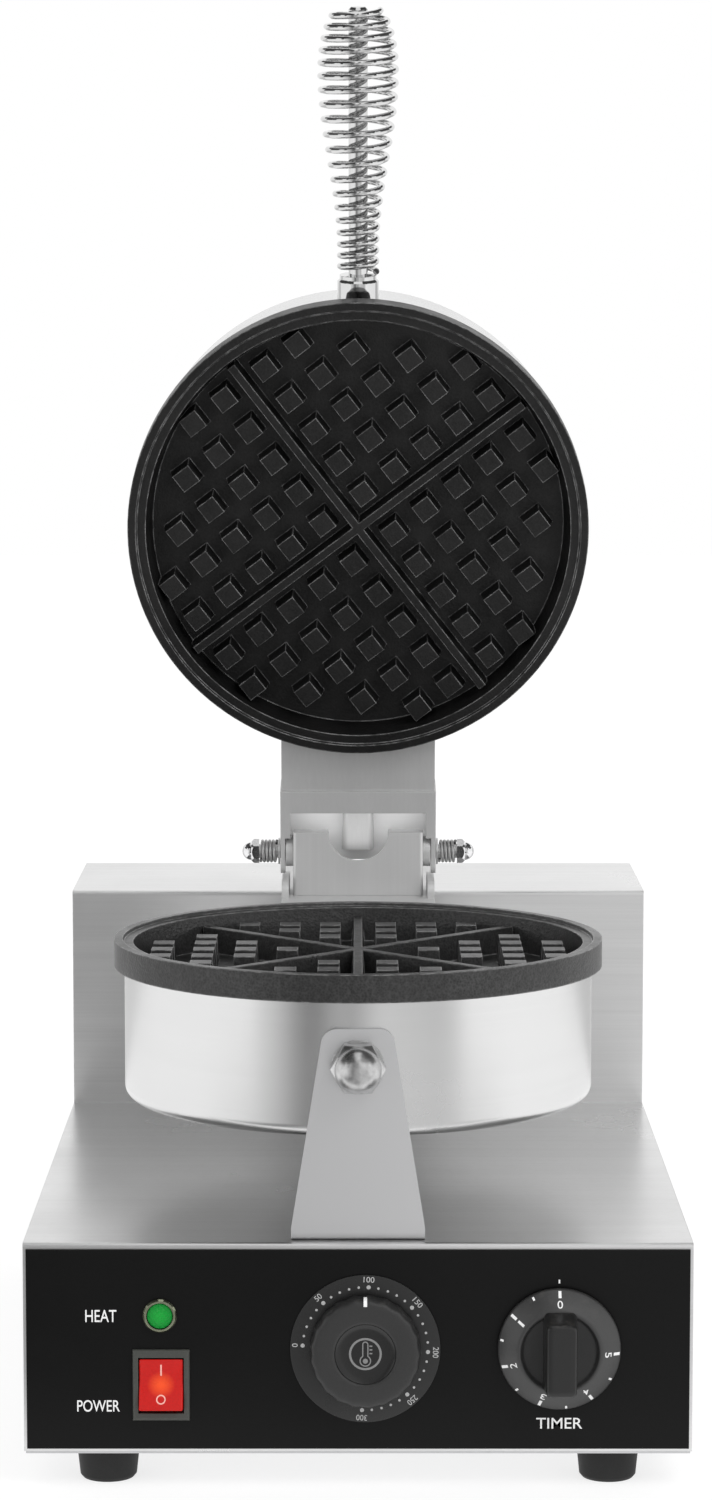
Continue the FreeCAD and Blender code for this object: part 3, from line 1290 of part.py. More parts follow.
# ---------------------------------------------------------------- build, check and write
def build():
    fill_sheet()
    base_shell()
    control_panel()
    bottom_plate()
    rear_cover()
    feet()
    cover_screws()
    frame_screws()
    cable_gland()
    terminal_block()
    lamp()
    switch_housing()
    rocker_switch()
    thermostat()
    timer()
    lower_unit()
    capillary()
    front_bracket()
    hinge_bridge()
    hinge_bracket()
    hinge_fasteners()
    lid_unit()
    lid_arm()
    hinge_yoke()
    lid_arm_cover()
    wire_duct()
    handle()
    doc.recompute()


def check():
    """Stop on any failed feature and on any sub-part whose solids are missing or not valid."""
    for item in doc.Objects:
        if {"Invalid", "Error"} & set(item.State):
            raise RuntimeError(f"{item.Label} failed: {item.State}")
    for item in nodes:
        if item.Shape.isNull() or not item.Shape.isValid() or not item.Shape.Solids:
            raise RuntimeError(f"{item.Label} has no valid solid")


def write():
    os.makedirs("parts", exist_ok=True)
    for item in nodes:
        item.Shape.exportStep(os.path.join("parts", f"{item.Label}.step"))
    print(f"{len(nodes)} sub-parts written")


build()
check()
write()
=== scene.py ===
"""Round waffle cone maker: a folded steel base with three controls, a fixed lower plate and a hinged lid.

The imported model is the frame. Its nodes keep their shapes and get their finishes here, and the controls,
scales, marks and lens are modelled again in finer detail. Metres; +Z up, +X right, +Y to the back.
"""

import logging
import math
from abc import ABC, abstractmethod
from collections.abc import Callable, Sequence
from dataclasses import dataclass, field
from enum import Enum

import bmesh
import bpy
from mathutils import Matrix, Vector


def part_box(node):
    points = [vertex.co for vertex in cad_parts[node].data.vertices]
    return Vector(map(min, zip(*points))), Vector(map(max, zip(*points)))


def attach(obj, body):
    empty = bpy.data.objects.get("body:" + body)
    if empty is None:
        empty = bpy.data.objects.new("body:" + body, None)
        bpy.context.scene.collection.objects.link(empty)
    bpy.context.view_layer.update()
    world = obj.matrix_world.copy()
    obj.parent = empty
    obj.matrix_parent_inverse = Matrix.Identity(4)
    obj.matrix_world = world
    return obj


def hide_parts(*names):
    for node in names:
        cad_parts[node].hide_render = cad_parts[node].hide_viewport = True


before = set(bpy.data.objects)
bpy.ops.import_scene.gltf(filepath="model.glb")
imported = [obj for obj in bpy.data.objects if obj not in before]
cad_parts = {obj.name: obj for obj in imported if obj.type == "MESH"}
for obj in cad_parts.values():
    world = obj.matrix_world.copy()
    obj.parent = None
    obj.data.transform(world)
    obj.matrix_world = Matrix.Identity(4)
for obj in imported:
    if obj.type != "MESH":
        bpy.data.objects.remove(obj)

LOG = logging.getLogger("waffle_maker")
MM = 0.001
INK_HEIGHT = 0.04 * MM
STROKE_WEIGHT = 0.004
CORNER_STEPS = 6
Colour = tuple[float, float, float, float]
Socket = bpy.types.NodeSocket
METAL_DUST: Colour = (0.5, 0.48, 0.45, 1.0)
PLASTIC_DUST: Colour = (0.4, 0.37, 0.33, 1.0)
SEASONING: Colour = (0.028, 0.027, 0.027, 1.0)
# Light grey for the plates' corners: partly rubbed iron, partly a painted highlight.
RUBBED_AND_HIGHLIT_IRON: Colour = (0.42, 0.42, 0.42, 1.0)
BLACK: Colour = (0.0, 0.0, 0.0, 1.0)


class Body(Enum):
    """The moving bodies that pieces ride on."""

    BASE = "base"
    LID = "lid"
    THERMOSTAT = "thermostat_dial"
    TIMER = "timer_dial"
    ROCKER = "rocker_key"


class Grain(Enum):
    """Which way the brushing runs, as cycles per metre along x, y and z."""

    ACROSS = (9.0, 900.0, 900.0)
    UPRIGHT = (900.0, 900.0, 9.0)
    AROUND = (14.0, 14.0, 1500.0)
    SATIN = (420.0, 420.0, 420.0)


# ------------------------------------------------------------------ shader graphs
class Graph:
    """A node tree with short calls for adding and joining nodes."""

    def __init__(self, tree: bpy.types.NodeTree) -> None:
        """Keep the tree that the calls work on."""
        self.tree = tree

    def add(self, kind: str, inputs: dict | None = None, **settings: object) -> bpy.types.Node:
        """Add a node.

        Args:
            kind: the node's type name.
            inputs: a value or a socket for each named or numbered input.
            settings: the node's own properties.

        Returns:
            The new node.
        """
        made = self.tree.nodes.new(kind)
        for key, value in settings.items():
            setattr(made, key, value)
        for key, value in (inputs or {}).items():
            self.feed(made.inputs[key], value)
        return made

    def feed(self, target: Socket, value: object) -> None:
        """Join a socket to the target, or set the target's own value."""
        if isinstance(value, bpy.types.NodeSocket):
            self.tree.links.new(value, target)
        else:
            target.default_value = value

    def maths(self, operation: str, first: object, second: object) -> Socket:
        """Return the result of a maths node on two values or sockets."""
        return self.add("ShaderNodeMath", {0: first, 1: second}, operation=operation).outputs[0]

    def remap(self, value: Socket, source: tuple[float, float], low: object, high: object) -> Socket:
        """Stretch a value from the source range to low and high.

        Args:
            value: the socket to stretch.
            source: the range that counts.
            low: the result at the range's start.
            high: the result at its end.

        Returns:
            The stretched value, clamped.
        """
        made = self.add("ShaderNodeMapRange", {"Value": value, "From Min": source[0], "From Max": source[1],
                                               "To Min": low, "To Max": high})
        return made.outputs[0]

    def tint(self, blend: str, factor: object, first: object, second: object) -> Socket:
        """Blend two colours.

        Args:
            blend: the blend mode.
            factor: how much of the second colour.
            first: the first colour.
            second: the second colour.

        Returns:
            The blended colour.
        """
        made = self.add("ShaderNodeMix", {0: factor, 6: first, 7: second}, data_type="RGBA", blend_type=blend)
        return made.outputs[2]

    def noise(self, vector: Socket, scale: object, detail: float, rough: float = 0.55) -> Socket:
        """Return smooth noise at a scale in cycles per metre."""
        made = self.add("ShaderNodeTexNoise", {"Vector": vector, "Scale": scale, "Detail": detail,
                                               "Roughness": rough})
        return made.outputs["Fac"]


class EffectShelf:
    """Shader effects that several finishes share: node groups, each built once."""

    def __init__(self) -> None:
        """Start with no group built."""
        self.trees: dict[str, bpy.types.NodeTree] = {}

    def get(self, name: str) -> bpy.types.NodeTree:
        """Return the group of that name, building it the first time."""
        if name not in self.trees:
            self.trees[name] = getattr(self, f"build_{name}")()
        return self.trees[name]

    @staticmethod
    def start(name: str, inputs: dict[str, object], outputs: Sequence[str]) -> tuple[Graph, dict, dict]:
        """Open a new group.

        Args:
            name: the group's name.
            inputs: each input's name and default; a three-number default makes a vector input.
            outputs: the names of its float outputs.

        Returns:
            The group's graph, its input sockets by name and its output sockets by name.
        """
        tree = bpy.data.node_groups.new(name, "ShaderNodeTree")
        for label, default in inputs.items():
            kind = "NodeSocketVector" if isinstance(default, tuple) else "NodeSocketFloat"
            tree.interface.new_socket(label, in_out="INPUT", socket_type=kind).default_value = default
        for label in outputs:
            tree.interface.new_socket(label, in_out="OUTPUT", socket_type="NodeSocketFloat")
        graph = Graph(tree)
        source, sink = graph.add("NodeGroupInput"), graph.add("NodeGroupOutput")
        return graph, {k: source.outputs[k] for k in inputs}, {k: sink.inputs[k] for k in outputs}

    @staticmethod
    def place(graph: Graph) -> Socket:
        """Return the object's own coordinates, in metres."""
        return graph.add("ShaderNodeTexCoord").outputs["Object"]

    def build_brushing(self) -> bpy.types.NodeTree:
        """Drawn-out scratches: their height, and a tone that lightens and darkens along them."""
        graph, given, result = self.start("brushing", {"Scale": (9.0, 900.0, 900.0), "Contrast": 0.06},
                                          ("Height", "Tone"))
        stretched = graph.add("ShaderNodeVectorMath", {0: self.place(graph), 1: given["Scale"]},
                              operation="MULTIPLY").outputs[0]
        fine = graph.noise(stretched, 1.0, 4.0, 0.68)
        broad = graph.noise(stretched, 0.16, 2.0, 0.5)
        both = graph.maths("ADD", graph.maths("MULTIPLY", fine, 0.6), graph.maths("MULTIPLY", broad, 0.4))
        low = graph.maths("SUBTRACT", 1.0, given["Contrast"])
        high = graph.maths("ADD", 1.0, given["Contrast"])
        graph.feed(result["Tone"], graph.remap(both, (0.34, 0.66), low, high))
        graph.feed(result["Height"], fine)
        return graph.tree

    def build_handling(self) -> bpy.types.NodeTree:
        """Wiped and touched areas: a slow change between two values, for roughness."""
        graph, given, result = self.start("handling", {"Size": 14.0, "Low": 0.3, "High": 0.4}, ("Value",))
        cloud = graph.noise(self.place(graph), given["Size"], 5.0, 0.62)
        graph.feed(result["Value"], graph.remap(cloud, (0.32, 0.68), given["Low"], given["High"]))
        return graph.tree

    def build_rubbed_and_highlit_edges(self) -> bpy.types.NodeTree:
        """Edges painted brighter, partly as rubbing and partly as a painted highlight: where a rounded normal leaves
        the true one, broken up by noise.
        """
        graph, given, result = self.start("rubbed_and_highlit_edges", {"Radius": 0.0006, "Size": 120.0, "Amount": 0.6}, ("Mask",))
        rounded = graph.add("ShaderNodeBevel", {"Radius": given["Radius"]}, samples=4).outputs[0]
        true = graph.add("ShaderNodeNewGeometry").outputs["Normal"]
        alike = graph.add("ShaderNodeVectorMath", {0: rounded, 1: true}, operation="DOT_PRODUCT").outputs["Value"]
        edge = graph.remap(alike, (0.995, 0.86), 0.0, 1.0)
        broken = graph.remap(graph.noise(self.place(graph), given["Size"], 3.0), (0.38, 0.6), 0.25, 1.0)
        graph.feed(result["Mask"], graph.maths("MULTIPLY", graph.maths("MULTIPLY", edge, broken), given["Amount"]))
        return graph.tree

    def build_casting(self) -> bpy.types.NodeTree:
        """Sand-cast or moulded skin: small pits and lumps, with a tone that follows them."""
        graph, given, result = self.start("casting", {"Size": 900.0, "Contrast": 0.25}, ("Height", "Tone"))
        spot = self.place(graph)
        pits = graph.add("ShaderNodeTexVoronoi", {"Vector": spot, "Scale": given["Size"]}).outputs["Distance"]
        lumps = graph.noise(spot, graph.maths("MULTIPLY", given["Size"], 0.45), 4.0, 0.6)
        skin = graph.maths("ADD", graph.maths("MULTIPLY", pits, 0.45), graph.maths("MULTIPLY", lumps, 0.7))
        low = graph.maths("SUBTRACT", 1.0, given["Contrast"])
        high = graph.maths("ADD", 1.0, given["Contrast"])
        graph.feed(result["Tone"], graph.remap(skin, (0.35, 0.85), low, high))
        graph.feed(result["Height"], skin)
        return graph.tree

    def build_dust(self) -> bpy.types.NodeTree:
        """Fine dust and crumbs on faces that look upwards."""
        graph, given, result = self.start("dust", {"Amount": 0.2, "Size": 260.0}, ("Mask",))
        normal = graph.add("ShaderNodeNewGeometry").outputs["Normal"]
        upward = graph.add("ShaderNodeSeparateXYZ", {0: normal}).outputs[2]
        facing = graph.remap(upward, (0.35, 0.95), 0.0, 1.0)
        specks = graph.remap(graph.noise(self.place(graph), given["Size"], 5.0, 0.7), (0.5, 0.68), 0.0, 1.0)
        graph.feed(result["Mask"], graph.maths("MULTIPLY", graph.maths("MULTIPLY", facing, specks), given["Amount"]))
        return graph.tree


EFFECTS = EffectShelf()


# ------------------------------------------------------------------ finishes
@dataclass(frozen=True)
class Finish(ABC):
    """A named surface finish that makes its material once.

    Args:
        name: the material's name.
        colour: its main colour.
        rough: its middle roughness.
        slot: the slot that it belongs to; not used.
    """

    name: str
    colour: Colour
    rough: float
    slot: str

    def material(self) -> bpy.types.Material:
        """Return this finish's material, making it the first time."""
        known = bpy.data.materials.get(self.name)
        if known:
            return known
        made = bpy.data.materials.new(self.name)
        made.use_nodes = True
        made.node_tree.nodes.clear()
        graph = Graph(made.node_tree)
        shader = graph.add("ShaderNodeBsdfPrincipled", {"Base Color": self.colour, "Roughness": self.rough})
        self.wire(graph, shader)
        graph.add("ShaderNodeOutputMaterial", {"Surface": shader.outputs[0]})
        made.diffuse_color = self.colour
        return made

    @abstractmethod
    def wire(self, graph: Graph, shader: bpy.types.Node) -> None:
        """Add this finish's detail to the shader."""

    @staticmethod
    def effect(graph: Graph, name: str, **values: object) -> bpy.types.Node:
        """Place a shared effect in the material, with its own values."""
        made = graph.add("ShaderNodeGroup", node_tree=EFFECTS.get(name))
        for key, value in values.items():
            graph.feed(made.inputs[key.capitalize()], value)
        return made

    @staticmethod
    def relief(graph: Graph, shader: bpy.types.Node, height: Socket, depth: float, edge: float) -> None:
        """Give the shader a bump over softly rounded edges.

        Args:
            graph: the material's graph.
            shader: its Principled shader.
            height: the bump's height.
            depth: the bump's depth, in metres.
            edge: the edges' radius, in metres.
        """
        rounded = graph.add("ShaderNodeBevel", {"Radius": edge}, samples=4).outputs[0]
        bump = graph.add("ShaderNodeBump", {"Height": height, "Distance": depth, "Strength": 1.0,
                                            "Normal": rounded})
        graph.feed(shader.inputs["Normal"], bump.outputs[0])

    def vary_roughness(self, graph: Graph, shader: bpy.types.Node, size: float, low: float, high: float) -> None:
        """Let the roughness wander, as handling leaves it.

        Args:
            graph: the material's graph.
            shader: its Principled shader.
            size: how fine the patches are, in cycles per metre.
            low: the lowest roughness, as a share of the middle one.
            high: the highest roughness, as a share of the middle one.
        """
        handling = self.effect(graph, "handling", size=size, low=self.rough * low, high=self.rough * high)
        graph.feed(shader.inputs["Roughness"], handling.outputs["Value"])

    def cast_skin(self, graph: Graph, size: float, contrast: float) -> tuple[Socket, Socket]:
        """Tone the main colour with a cast or moulded skin.

        Args:
            graph: the material's graph.
            size: how fine the skin is, in cycles per metre.
            contrast: how strongly it changes the tone.

        Returns:
            The toned colour and the skin's height.
        """
        casting = self.effect(graph, "casting", size=size, contrast=contrast)
        return graph.tint("MULTIPLY", 1.0, self.colour, casting.outputs["Tone"]), casting.outputs["Height"]


@dataclass(frozen=True)
class Metal(Finish):
    """Bare metal: brushed, satin or polished.

    Args:
        grain: the brushing's direction.
        contrast: how strongly the brushing changes the tone.
        depth: the brushing's depth, in metres.
        edge_brightness: how bright the edges are painted, partly rubbed and partly a painted highlight.
        edge: the radius of its edges, in metres.
        metallic: 1 for bare metal, less for a matt blasted face.
    """

    grain: Grain = Grain.ACROSS
    contrast: float = 0.06
    depth: float = 0.000004
    edge_brightness: float = 0.35
    edge: float = 0.0005
    metallic: float = 1.0

    def wire(self, graph: Graph, shader: bpy.types.Node) -> None:
        """Add brushing, handling marks, edges painted bright (partly rubbed, partly a painted highlight) and a little
        dust.
        """
        shader.inputs["Metallic"].default_value = self.metallic
        brushing = self.effect(graph, "brushing", scale=self.grain.value, contrast=self.contrast)
        toned = graph.tint("MULTIPLY", 1.0, self.colour, brushing.outputs["Tone"])
        # Edges painted brighter: partly rubbed metal, partly a painted highlight along rounded edges.
        edge_brightness = self.effect(graph, "rubbed_and_highlit_edges", radius=self.edge, size=160.0, amount=self.edge_brightness)
        bright = tuple(min(1.0, c * 1.25 + 0.06) for c in self.colour[:3]) + (1.0,)
        edged = graph.tint("MIX", edge_brightness.outputs["Mask"], toned, bright)
        dust = self.effect(graph, "dust", amount=0.07)
        graph.feed(shader.inputs["Base Color"], graph.tint("MIX", dust.outputs["Mask"], edged, METAL_DUST))
        self.vary_roughness(graph, shader, 11.0, 0.86, 1.16)
        self.relief(graph, shader, brushing.outputs["Height"], self.depth, self.edge)


@dataclass(frozen=True)
class Moulded(Finish):
    """Moulded plastic, rubber or baked enamel.

    Args:
        skin: the skin's grain, in cycles per metre.
        depth: the grain's depth, in metres.
        specular: the shader's specular level.
        edge_brightness: how light the edges are painted, partly rubbed and partly a painted highlight.
        edge: the radius of its edges, in metres.
        dust: how much dust lies on it.
    """

    skin: float = 2400.0
    depth: float = 0.00001
    specular: float = 0.5
    edge_brightness: float = 0.25
    edge: float = 0.0004
    dust: float = 0.1

    def wire(self, graph: Graph, shader: bpy.types.Node) -> None:
        """Add the moulded skin, edges painted lighter (partly rubbed, partly a painted highlight), handling marks and
        dust.
        """
        shader.inputs["Specular IOR Level"].default_value = self.specular
        toned, height = self.cast_skin(graph, self.skin, 0.12)
        # Edges painted lighter: partly rubbed plastic, partly a painted highlight along rounded edges.
        edge_brightness = self.effect(graph, "rubbed_and_highlit_edges", radius=self.edge, size=200.0, amount=self.edge_brightness)
        light = tuple(c * 1.3 + 0.07 for c in self.colour[:3]) + (1.0,)
        edged = graph.tint("MIX", edge_brightness.outputs["Mask"], toned, light)
        dust = self.effect(graph, "dust", amount=self.dust)
        graph.feed(shader.inputs["Base Color"], graph.tint("MIX", dust.outputs["Mask"], edged, PLASTIC_DUST))
        self.vary_roughness(graph, shader, 30.0, 0.85, 1.15)
        self.relief(graph, shader, height, self.depth, self.edge)


@dataclass(frozen=True)
class CastIron(Finish):
    """Seasoned cast iron: dark and grainy, with corners painted bright, partly rubbed and partly a painted highlight,
    and a baked-on sheen.

    Args:
        edge_brightness: how bright the corners are painted, partly rubbed and partly a painted highlight.
        pits: the depth of the pits, in metres.
    """

    edge_brightness: float = 0.5
    pits: float = 0.00008

    def wire(self, graph: Graph, shader: bpy.types.Node) -> None:
        """Add pits, seasoning patches and corners painted bright, partly rubbed and partly a painted highlight."""
        shader.inputs["Metallic"].default_value = 0.5
        shader.inputs["Specular IOR Level"].default_value = 0.5
        toned, height = self.cast_skin(graph, 1100.0, 0.45)
        patches = self.effect(graph, "handling", size=26.0, low=0.0, high=0.5)
        seasoned = graph.tint("MIX", patches.outputs["Value"], toned, SEASONING)
        # Corners painted light grey: partly rubbed iron, partly a painted highlight on rims and peg edges.
        edge_brightness = self.effect(graph, "rubbed_and_highlit_edges", radius=0.0008, size=240.0, amount=self.edge_brightness)
        graph.feed(shader.inputs["Base Color"], graph.tint("MIX", edge_brightness.outputs["Mask"], seasoned, RUBBED_AND_HIGHLIT_IRON))
        self.vary_roughness(graph, shader, 40.0, 0.8, 1.2)
        self.relief(graph, shader, height, self.pits, 0.0007)


@dataclass(frozen=True)
class Ink(Finish):
    """Printed marks: nearly even, a little thin in places."""

    def wire(self, graph: Graph, shader: bpy.types.Node) -> None:
        """Thin the print slightly in patches."""
        toned, _ = self.cast_skin(graph, 3200.0, 0.1)
        graph.feed(shader.inputs["Base Color"], toned)
        self.vary_roughness(graph, shader, 60.0, 0.9, 1.1)


@dataclass(frozen=True)
class Lit(Finish):
    """Coloured translucent plastic with a lamp behind it.

    Args:
        glow: the colour of the lamp's light through it.
        strength: how strongly it glows.
        reach: the glow's radius, in metres.
        specular: the shader's specular level.
    """

    glow: Colour = (1.0, 0.3, 0.05, 1.0)
    strength: float = 0.5
    reach: float = 0.006
    specular: float = 0.5

    def wire(self, graph: Graph, shader: bpy.types.Node) -> None:
        """Add a glow that fades from the piece's centre, a clear coat and moulding marks."""
        shader.inputs["Specular IOR Level"].default_value = self.specular
        shader.inputs["Coat Weight"].default_value = self.specular * 0.4
        shader.inputs["Coat Roughness"].default_value = 0.12
        shader.inputs["Emission Strength"].default_value = self.strength
        spot = EffectShelf.place(graph)
        far = graph.add("ShaderNodeVectorMath", {0: spot}, operation="LENGTH").outputs["Value"]
        near = graph.remap(far, (self.reach, self.reach * 0.15), 0.0, 1.0)
        faint = tuple(c * 0.25 for c in self.colour[:3]) + (1.0,)
        graph.feed(shader.inputs["Emission Color"], graph.tint("MIX", near, faint, self.glow))
        toned, _ = self.cast_skin(graph, 1500.0, 0.08)
        lit = graph.maths("MULTIPLY", near, 0.5)
        graph.feed(shader.inputs["Base Color"], graph.tint("MIX", lit, toned, self.glow))
        self.vary_roughness(graph, shader, 50.0, 0.8, 1.2)


def grey(level: float, warmth: float = 0.0) -> Colour:
    """Return a grey of that linear level, warmer in red and cooler in blue by the warmth."""
    return (level * (1 + warmth), level, level * (1 - warmth), 1.0)


class Finishes:
    """Every finish of the machine, by the maker's name for it."""

    SHELL = Metal("shell_brushed_steel", grey(0.78), 0.31, "steel_shell", Grain.ACROSS, 0.04, 0.000002)
    COVER = Metal("cover_steel", grey(0.62), 0.4, "cover_steel", Grain.ACROSS, 0.05)
    DRUM = Metal("drum_rolled_steel", grey(0.75), 0.24, "drum_steel", Grain.AROUND, 0.012, 0.0000006, 0.5, 0.0008)
    BRACKET = Metal("bracket_steel", grey(0.58), 0.34, "bracket_steel", Grain.SATIN, 0.03, 0.000001, 1.0, 0.0011,
                    0.8)
    HINGE = Metal("hinge_satin_steel", grey(0.6), 0.42, "hinge_steel", Grain.UPRIGHT, 0.025, 0.000001, 0.25, 0.0006,
                  0.45)
    ARM = Metal("arm_satin_steel", grey(0.6), 0.42, "hinge_steel", Grain.UPRIGHT, 0.03, 0.000001, 0.2, 0.0006, 0.45)
    BRIGHT = Metal("cover_bright_steel", grey(0.93), 0.45, "steel_shell", Grain.ACROSS, 0.02, 0.000001, 0.4, 0.0006,
                   0.15)
    DUCT = Metal("duct_steel", grey(0.5), 0.4, "cover_steel", Grain.UPRIGHT, 0.04, 0.000001, 0.5, 0.0004, 0.5)
    CHROME = Metal("handle_chrome_plate", grey(0.7), 0.06, "handle_chrome", Grain.SATIN, 0.02, 0.000001, 0.0, 0.0003)
    POLISHED = Metal("polished_steel", grey(0.78), 0.1, "polished_steel", Grain.SATIN, 0.03, 0.000001, 0.3, 0.0005)
    NUT = Metal("nut_worn_steel", grey(0.6), 0.26, "polished_steel", Grain.SATIN, 0.2, 0.000005, 0.9, 0.0006)
    FASTENER = Metal("fastener_steel", grey(0.6, 0.02), 0.24, "fastener_steel", Grain.SATIN, 0.08, 0.000002, 0.4,
                     0.0003)
    SPRING = Metal("spring_steel", grey(0.36), 0.15, "spring_steel", Grain.SATIN, 0.06, 0.000001, 0.2, 0.0002)
    SHEATH = Metal("heater_sheath", (0.32, 0.27, 0.23, 1), 0.42, "heater_sheath", Grain.SATIN, 0.2, 0.000004)
    TUBE = Metal("capillary_copper", (0.72, 0.4, 0.26, 1), 0.3, "heater_sheath", Grain.SATIN, 0.15, 0.000003)
    PANEL = Moulded("panel_black_enamel", grey(0.0042), 0.36, "panel_black", 1500.0, 0.000004, 0.16, 0.12, 0.0005,
                     0.01)
    KNOB = Moulded("knob_black_phenolic", grey(0.009), 0.34, "knob_black", 2600.0, 0.000008, 0.5, 0.3, 0.0004, 0.08)
    FACE = Moulded("knob_face_satin", grey(0.022), 0.42, "knob_black", 2200.0, 0.00001, 0.5, 0.35, 0.0005, 0.05)
    GLOSS = Moulded("knob_dish_gloss", grey(0.007), 0.24, "knob_black", 2600.0, 0.000004, 0.6, 0.2, 0.0004, 0.02)
    SKIRT = Moulded("timer_skirt_satin", grey(0.03), 0.38, "knob_black", 2600.0, 0.000008, 0.7, 0.3, 0.0004, 0.08)
    SCALE = Moulded("scale_black_satin", grey(0.012), 0.3, "scale_black", 1800.0, 0.000004, 0.6, 0.2, 0.0003, 0.03)
    RUBBER = Moulded("foot_black_rubber", grey(0.014), 0.62, "black_rubber", 1400.0, 0.00002, 0.35, 0.3, 0.0008, 0.1)
    BEZEL = Moulded("bezel_dark_grey", (0.05, 0.052, 0.046, 1), 0.4, "bezel_grey", 2000.0, 0.000008, 0.5, 0.35)
    CASE = Moulded("inner_plastic", (0.09, 0.09, 0.085, 1), 0.5, "inner_plastic", 1600.0, 0.00002)
    NYLON = Moulded("terminal_nylon", (0.72, 0.68, 0.58, 1), 0.45, "inner_plastic", 1200.0, 0.00002)
    WOOL = Moulded("mineral_wool", (0.62, 0.55, 0.42, 1), 0.9, "mineral_wool", 320.0, 0.0006, 0.2, 0.0)
    IRON = CastIron("plate_cast_iron", grey(0.05), 0.34, "plate_iron", 1.0, 0.00018)
    DARK_IRON = CastIron("plate_seasoned_iron", grey(0.011), 0.4, "plate_iron", 0.9, 0.00014)
    WHITE = Ink("print_white", grey(0.82), 0.45, "scale_black")
    PALE = Ink("print_light_grey", grey(0.45), 0.45, "scale_black")
    DIM = Ink("print_dim_grey", grey(0.2), 0.45, "knob_black")
    PINK = Ink("print_pale_pink", (0.85, 0.42, 0.36, 1), 0.4, "rocker_red")
    ROCKER = Lit("rocker_lit_red", (0.5, 0.006, 0.004, 1), 0.3, "rocker_red", (1.0, 0.13, 0.02, 1), 0.2, 0.0055,
                 0.25)
    LENS = Lit("lamp_green_glass", (0.002, 0.13, 0.02, 1), 0.22, "lamp_green", (0.02, 0.5, 0.06, 1), 0.14, 0.0065,
               0.12)
    GLASS_RING = Metal("lamp_ring_bright", (0.32, 0.34, 0.24, 1), 0.12, "polished_steel", Grain.SATIN, 0.3, 0.000002)


# ------------------------------------------------------------------ shapes
FACING_FRONT = Matrix.Rotation(math.pi / 2, 4, "X")


def at_front(x: float, y: float, z: float) -> Matrix:
    """Return the placement of a piece whose own +Z points out of the control panel."""
    return Matrix.Translation((x, y, z)) @ FACING_FRONT


def circle_ring(radius: float, height: float, count: int) -> list[Vector]:
    """Return a circle of points about +Z."""
    turn = 2 * math.pi / count
    return [Vector((radius * math.cos(i * turn), radius * math.sin(i * turn), height)) for i in range(count)]


def rounded_rectangle(width: float, length: float, corner: float, height: float) -> list[Vector]:
    """Return a rectangle with round corners, as points at one height.

    Args:
        width: its size along x.
        length: its size along y.
        corner: the corners' radius.
        height: its z.

    Returns:
        The points, counterclockwise.
    """
    points = []
    centres = ((1, 1, 0), (-1, 1, 90), (-1, -1, 180), (1, -1, 270))
    for side_x, side_y, start in centres:
        centre = Vector((side_x * (width / 2 - corner), side_y * (length / 2 - corner), height))
        for step in range(CORNER_STEPS + 1):
            angle = math.radians(start + 90 * step / CORNER_STEPS)
            points.append(centre + Vector((math.cos(angle), math.sin(angle), 0)) * corner)
    return points


def loft(rings: Sequence[Sequence[Vector]]) -> bmesh.types.BMesh:
    """Skin a row of closed rings that have the same number of points, and close both ends.

    Args:
        rings: the rings, in order.

    Returns:
        The skinned shape.
    """
    shape = bmesh.new()
    rows = [[shape.verts.new(point) for point in ring] for ring in rings]
    count = len(rows[0])
    for lower, upper in zip(rows, rows[1:]):
        for i in range(count):
            j = (i + 1) % count
            shape.faces.new((lower[i], lower[j], upper[j], upper[i]))
    shape.faces.new(list(reversed(rows[0])))
    shape.faces.new(rows[-1])
    return shape


def lathe(profile: Sequence[tuple[float, float]], count: int = 96) -> bmesh.types.BMesh:
    """Turn a profile of (radius, height) points about +Z, closing both ends."""
    return loft([circle_ring(radius, height, count) for radius, height in profile])


def ribbon(shape: bmesh.types.BMesh, points: Sequence[tuple[float, float]], width: float, height: float,
           closed: bool = False, surface: Callable[[float, float], float] | None = None) -> None:
    """Add a printed stroke of even width to a shape.

    Args:
        shape: the shape to add to.
        points: the stroke's middle line in x and y.
        width: the stroke's width.
        height: how far it stands proud.
        closed: join the last point to the first.
        surface: the height of the surface that it lies on, at x and y.
    """
    lift = surface or (lambda x, y: 0.0)
    line = [Vector(point) for point in points]
    last = len(line) - 1
    left, right = [], []
    for i, point in enumerate(line):
        before = line[i - 1] if i or closed else point
        after = line[(i + 1) % len(line)] if i < last or closed else point
        along = (after - before).normalized()
        across = Vector((-along.y, along.x)) * (width / 2)
        for side, row in ((1, left), (-1, right)):
            spot = point + across * side
            base = lift(spot.x, spot.y)
            row.append((shape.verts.new((spot.x, spot.y, base + height)), shape.verts.new((spot.x, spot.y, base))))
    stretches = range(len(line) if closed else last)
    for i in stretches:
        j = (i + 1) % len(line)
        (lt, lb), (lt2, lb2), (rt, rb), (rt2, rb2) = left[i], left[j], right[i], right[j]
        shape.faces.new((rt, rt2, lt2, lt))
        shape.faces.new((lt, lt2, lb2, lb))
        shape.faces.new((rb, rb2, rt2, rt))
    if not closed:
        for i in (0, last):
            (lt, lb), (rt, rb) = left[i], right[i]
            shape.faces.new((lt, lb, rb, rt))


def arc(x: float, y: float, radius: float, start: float, end: float, steps: int) -> list[tuple[float, float]]:
    """Return points along an arc; the angles are in degrees."""
    angles = [math.radians(start + (end - start) * i / steps) for i in range(steps + 1)]
    return [(x + radius * math.cos(a), y + radius * math.sin(a)) for a in angles]


def dot(shape: bmesh.types.BMesh, x: float, y: float, radius: float, height: float) -> None:
    """Add a round printed dot, slightly domed, at x and y."""
    rim = [shape.verts.new((px, py, 0.0)) for px, py in arc(x, y, radius, 0, 345, 23)]
    edge = [shape.verts.new((px, py, height * 0.8)) for px, py in arc(x, y, radius * 0.95, 0, 345, 23)]
    middle = shape.verts.new((x, y, height))
    for i in range(len(rim)):
        j = (i + 1) % len(rim)
        shape.faces.new((rim[i], rim[j], edge[j], edge[i]))
        shape.faces.new((edge[i], edge[j], middle))


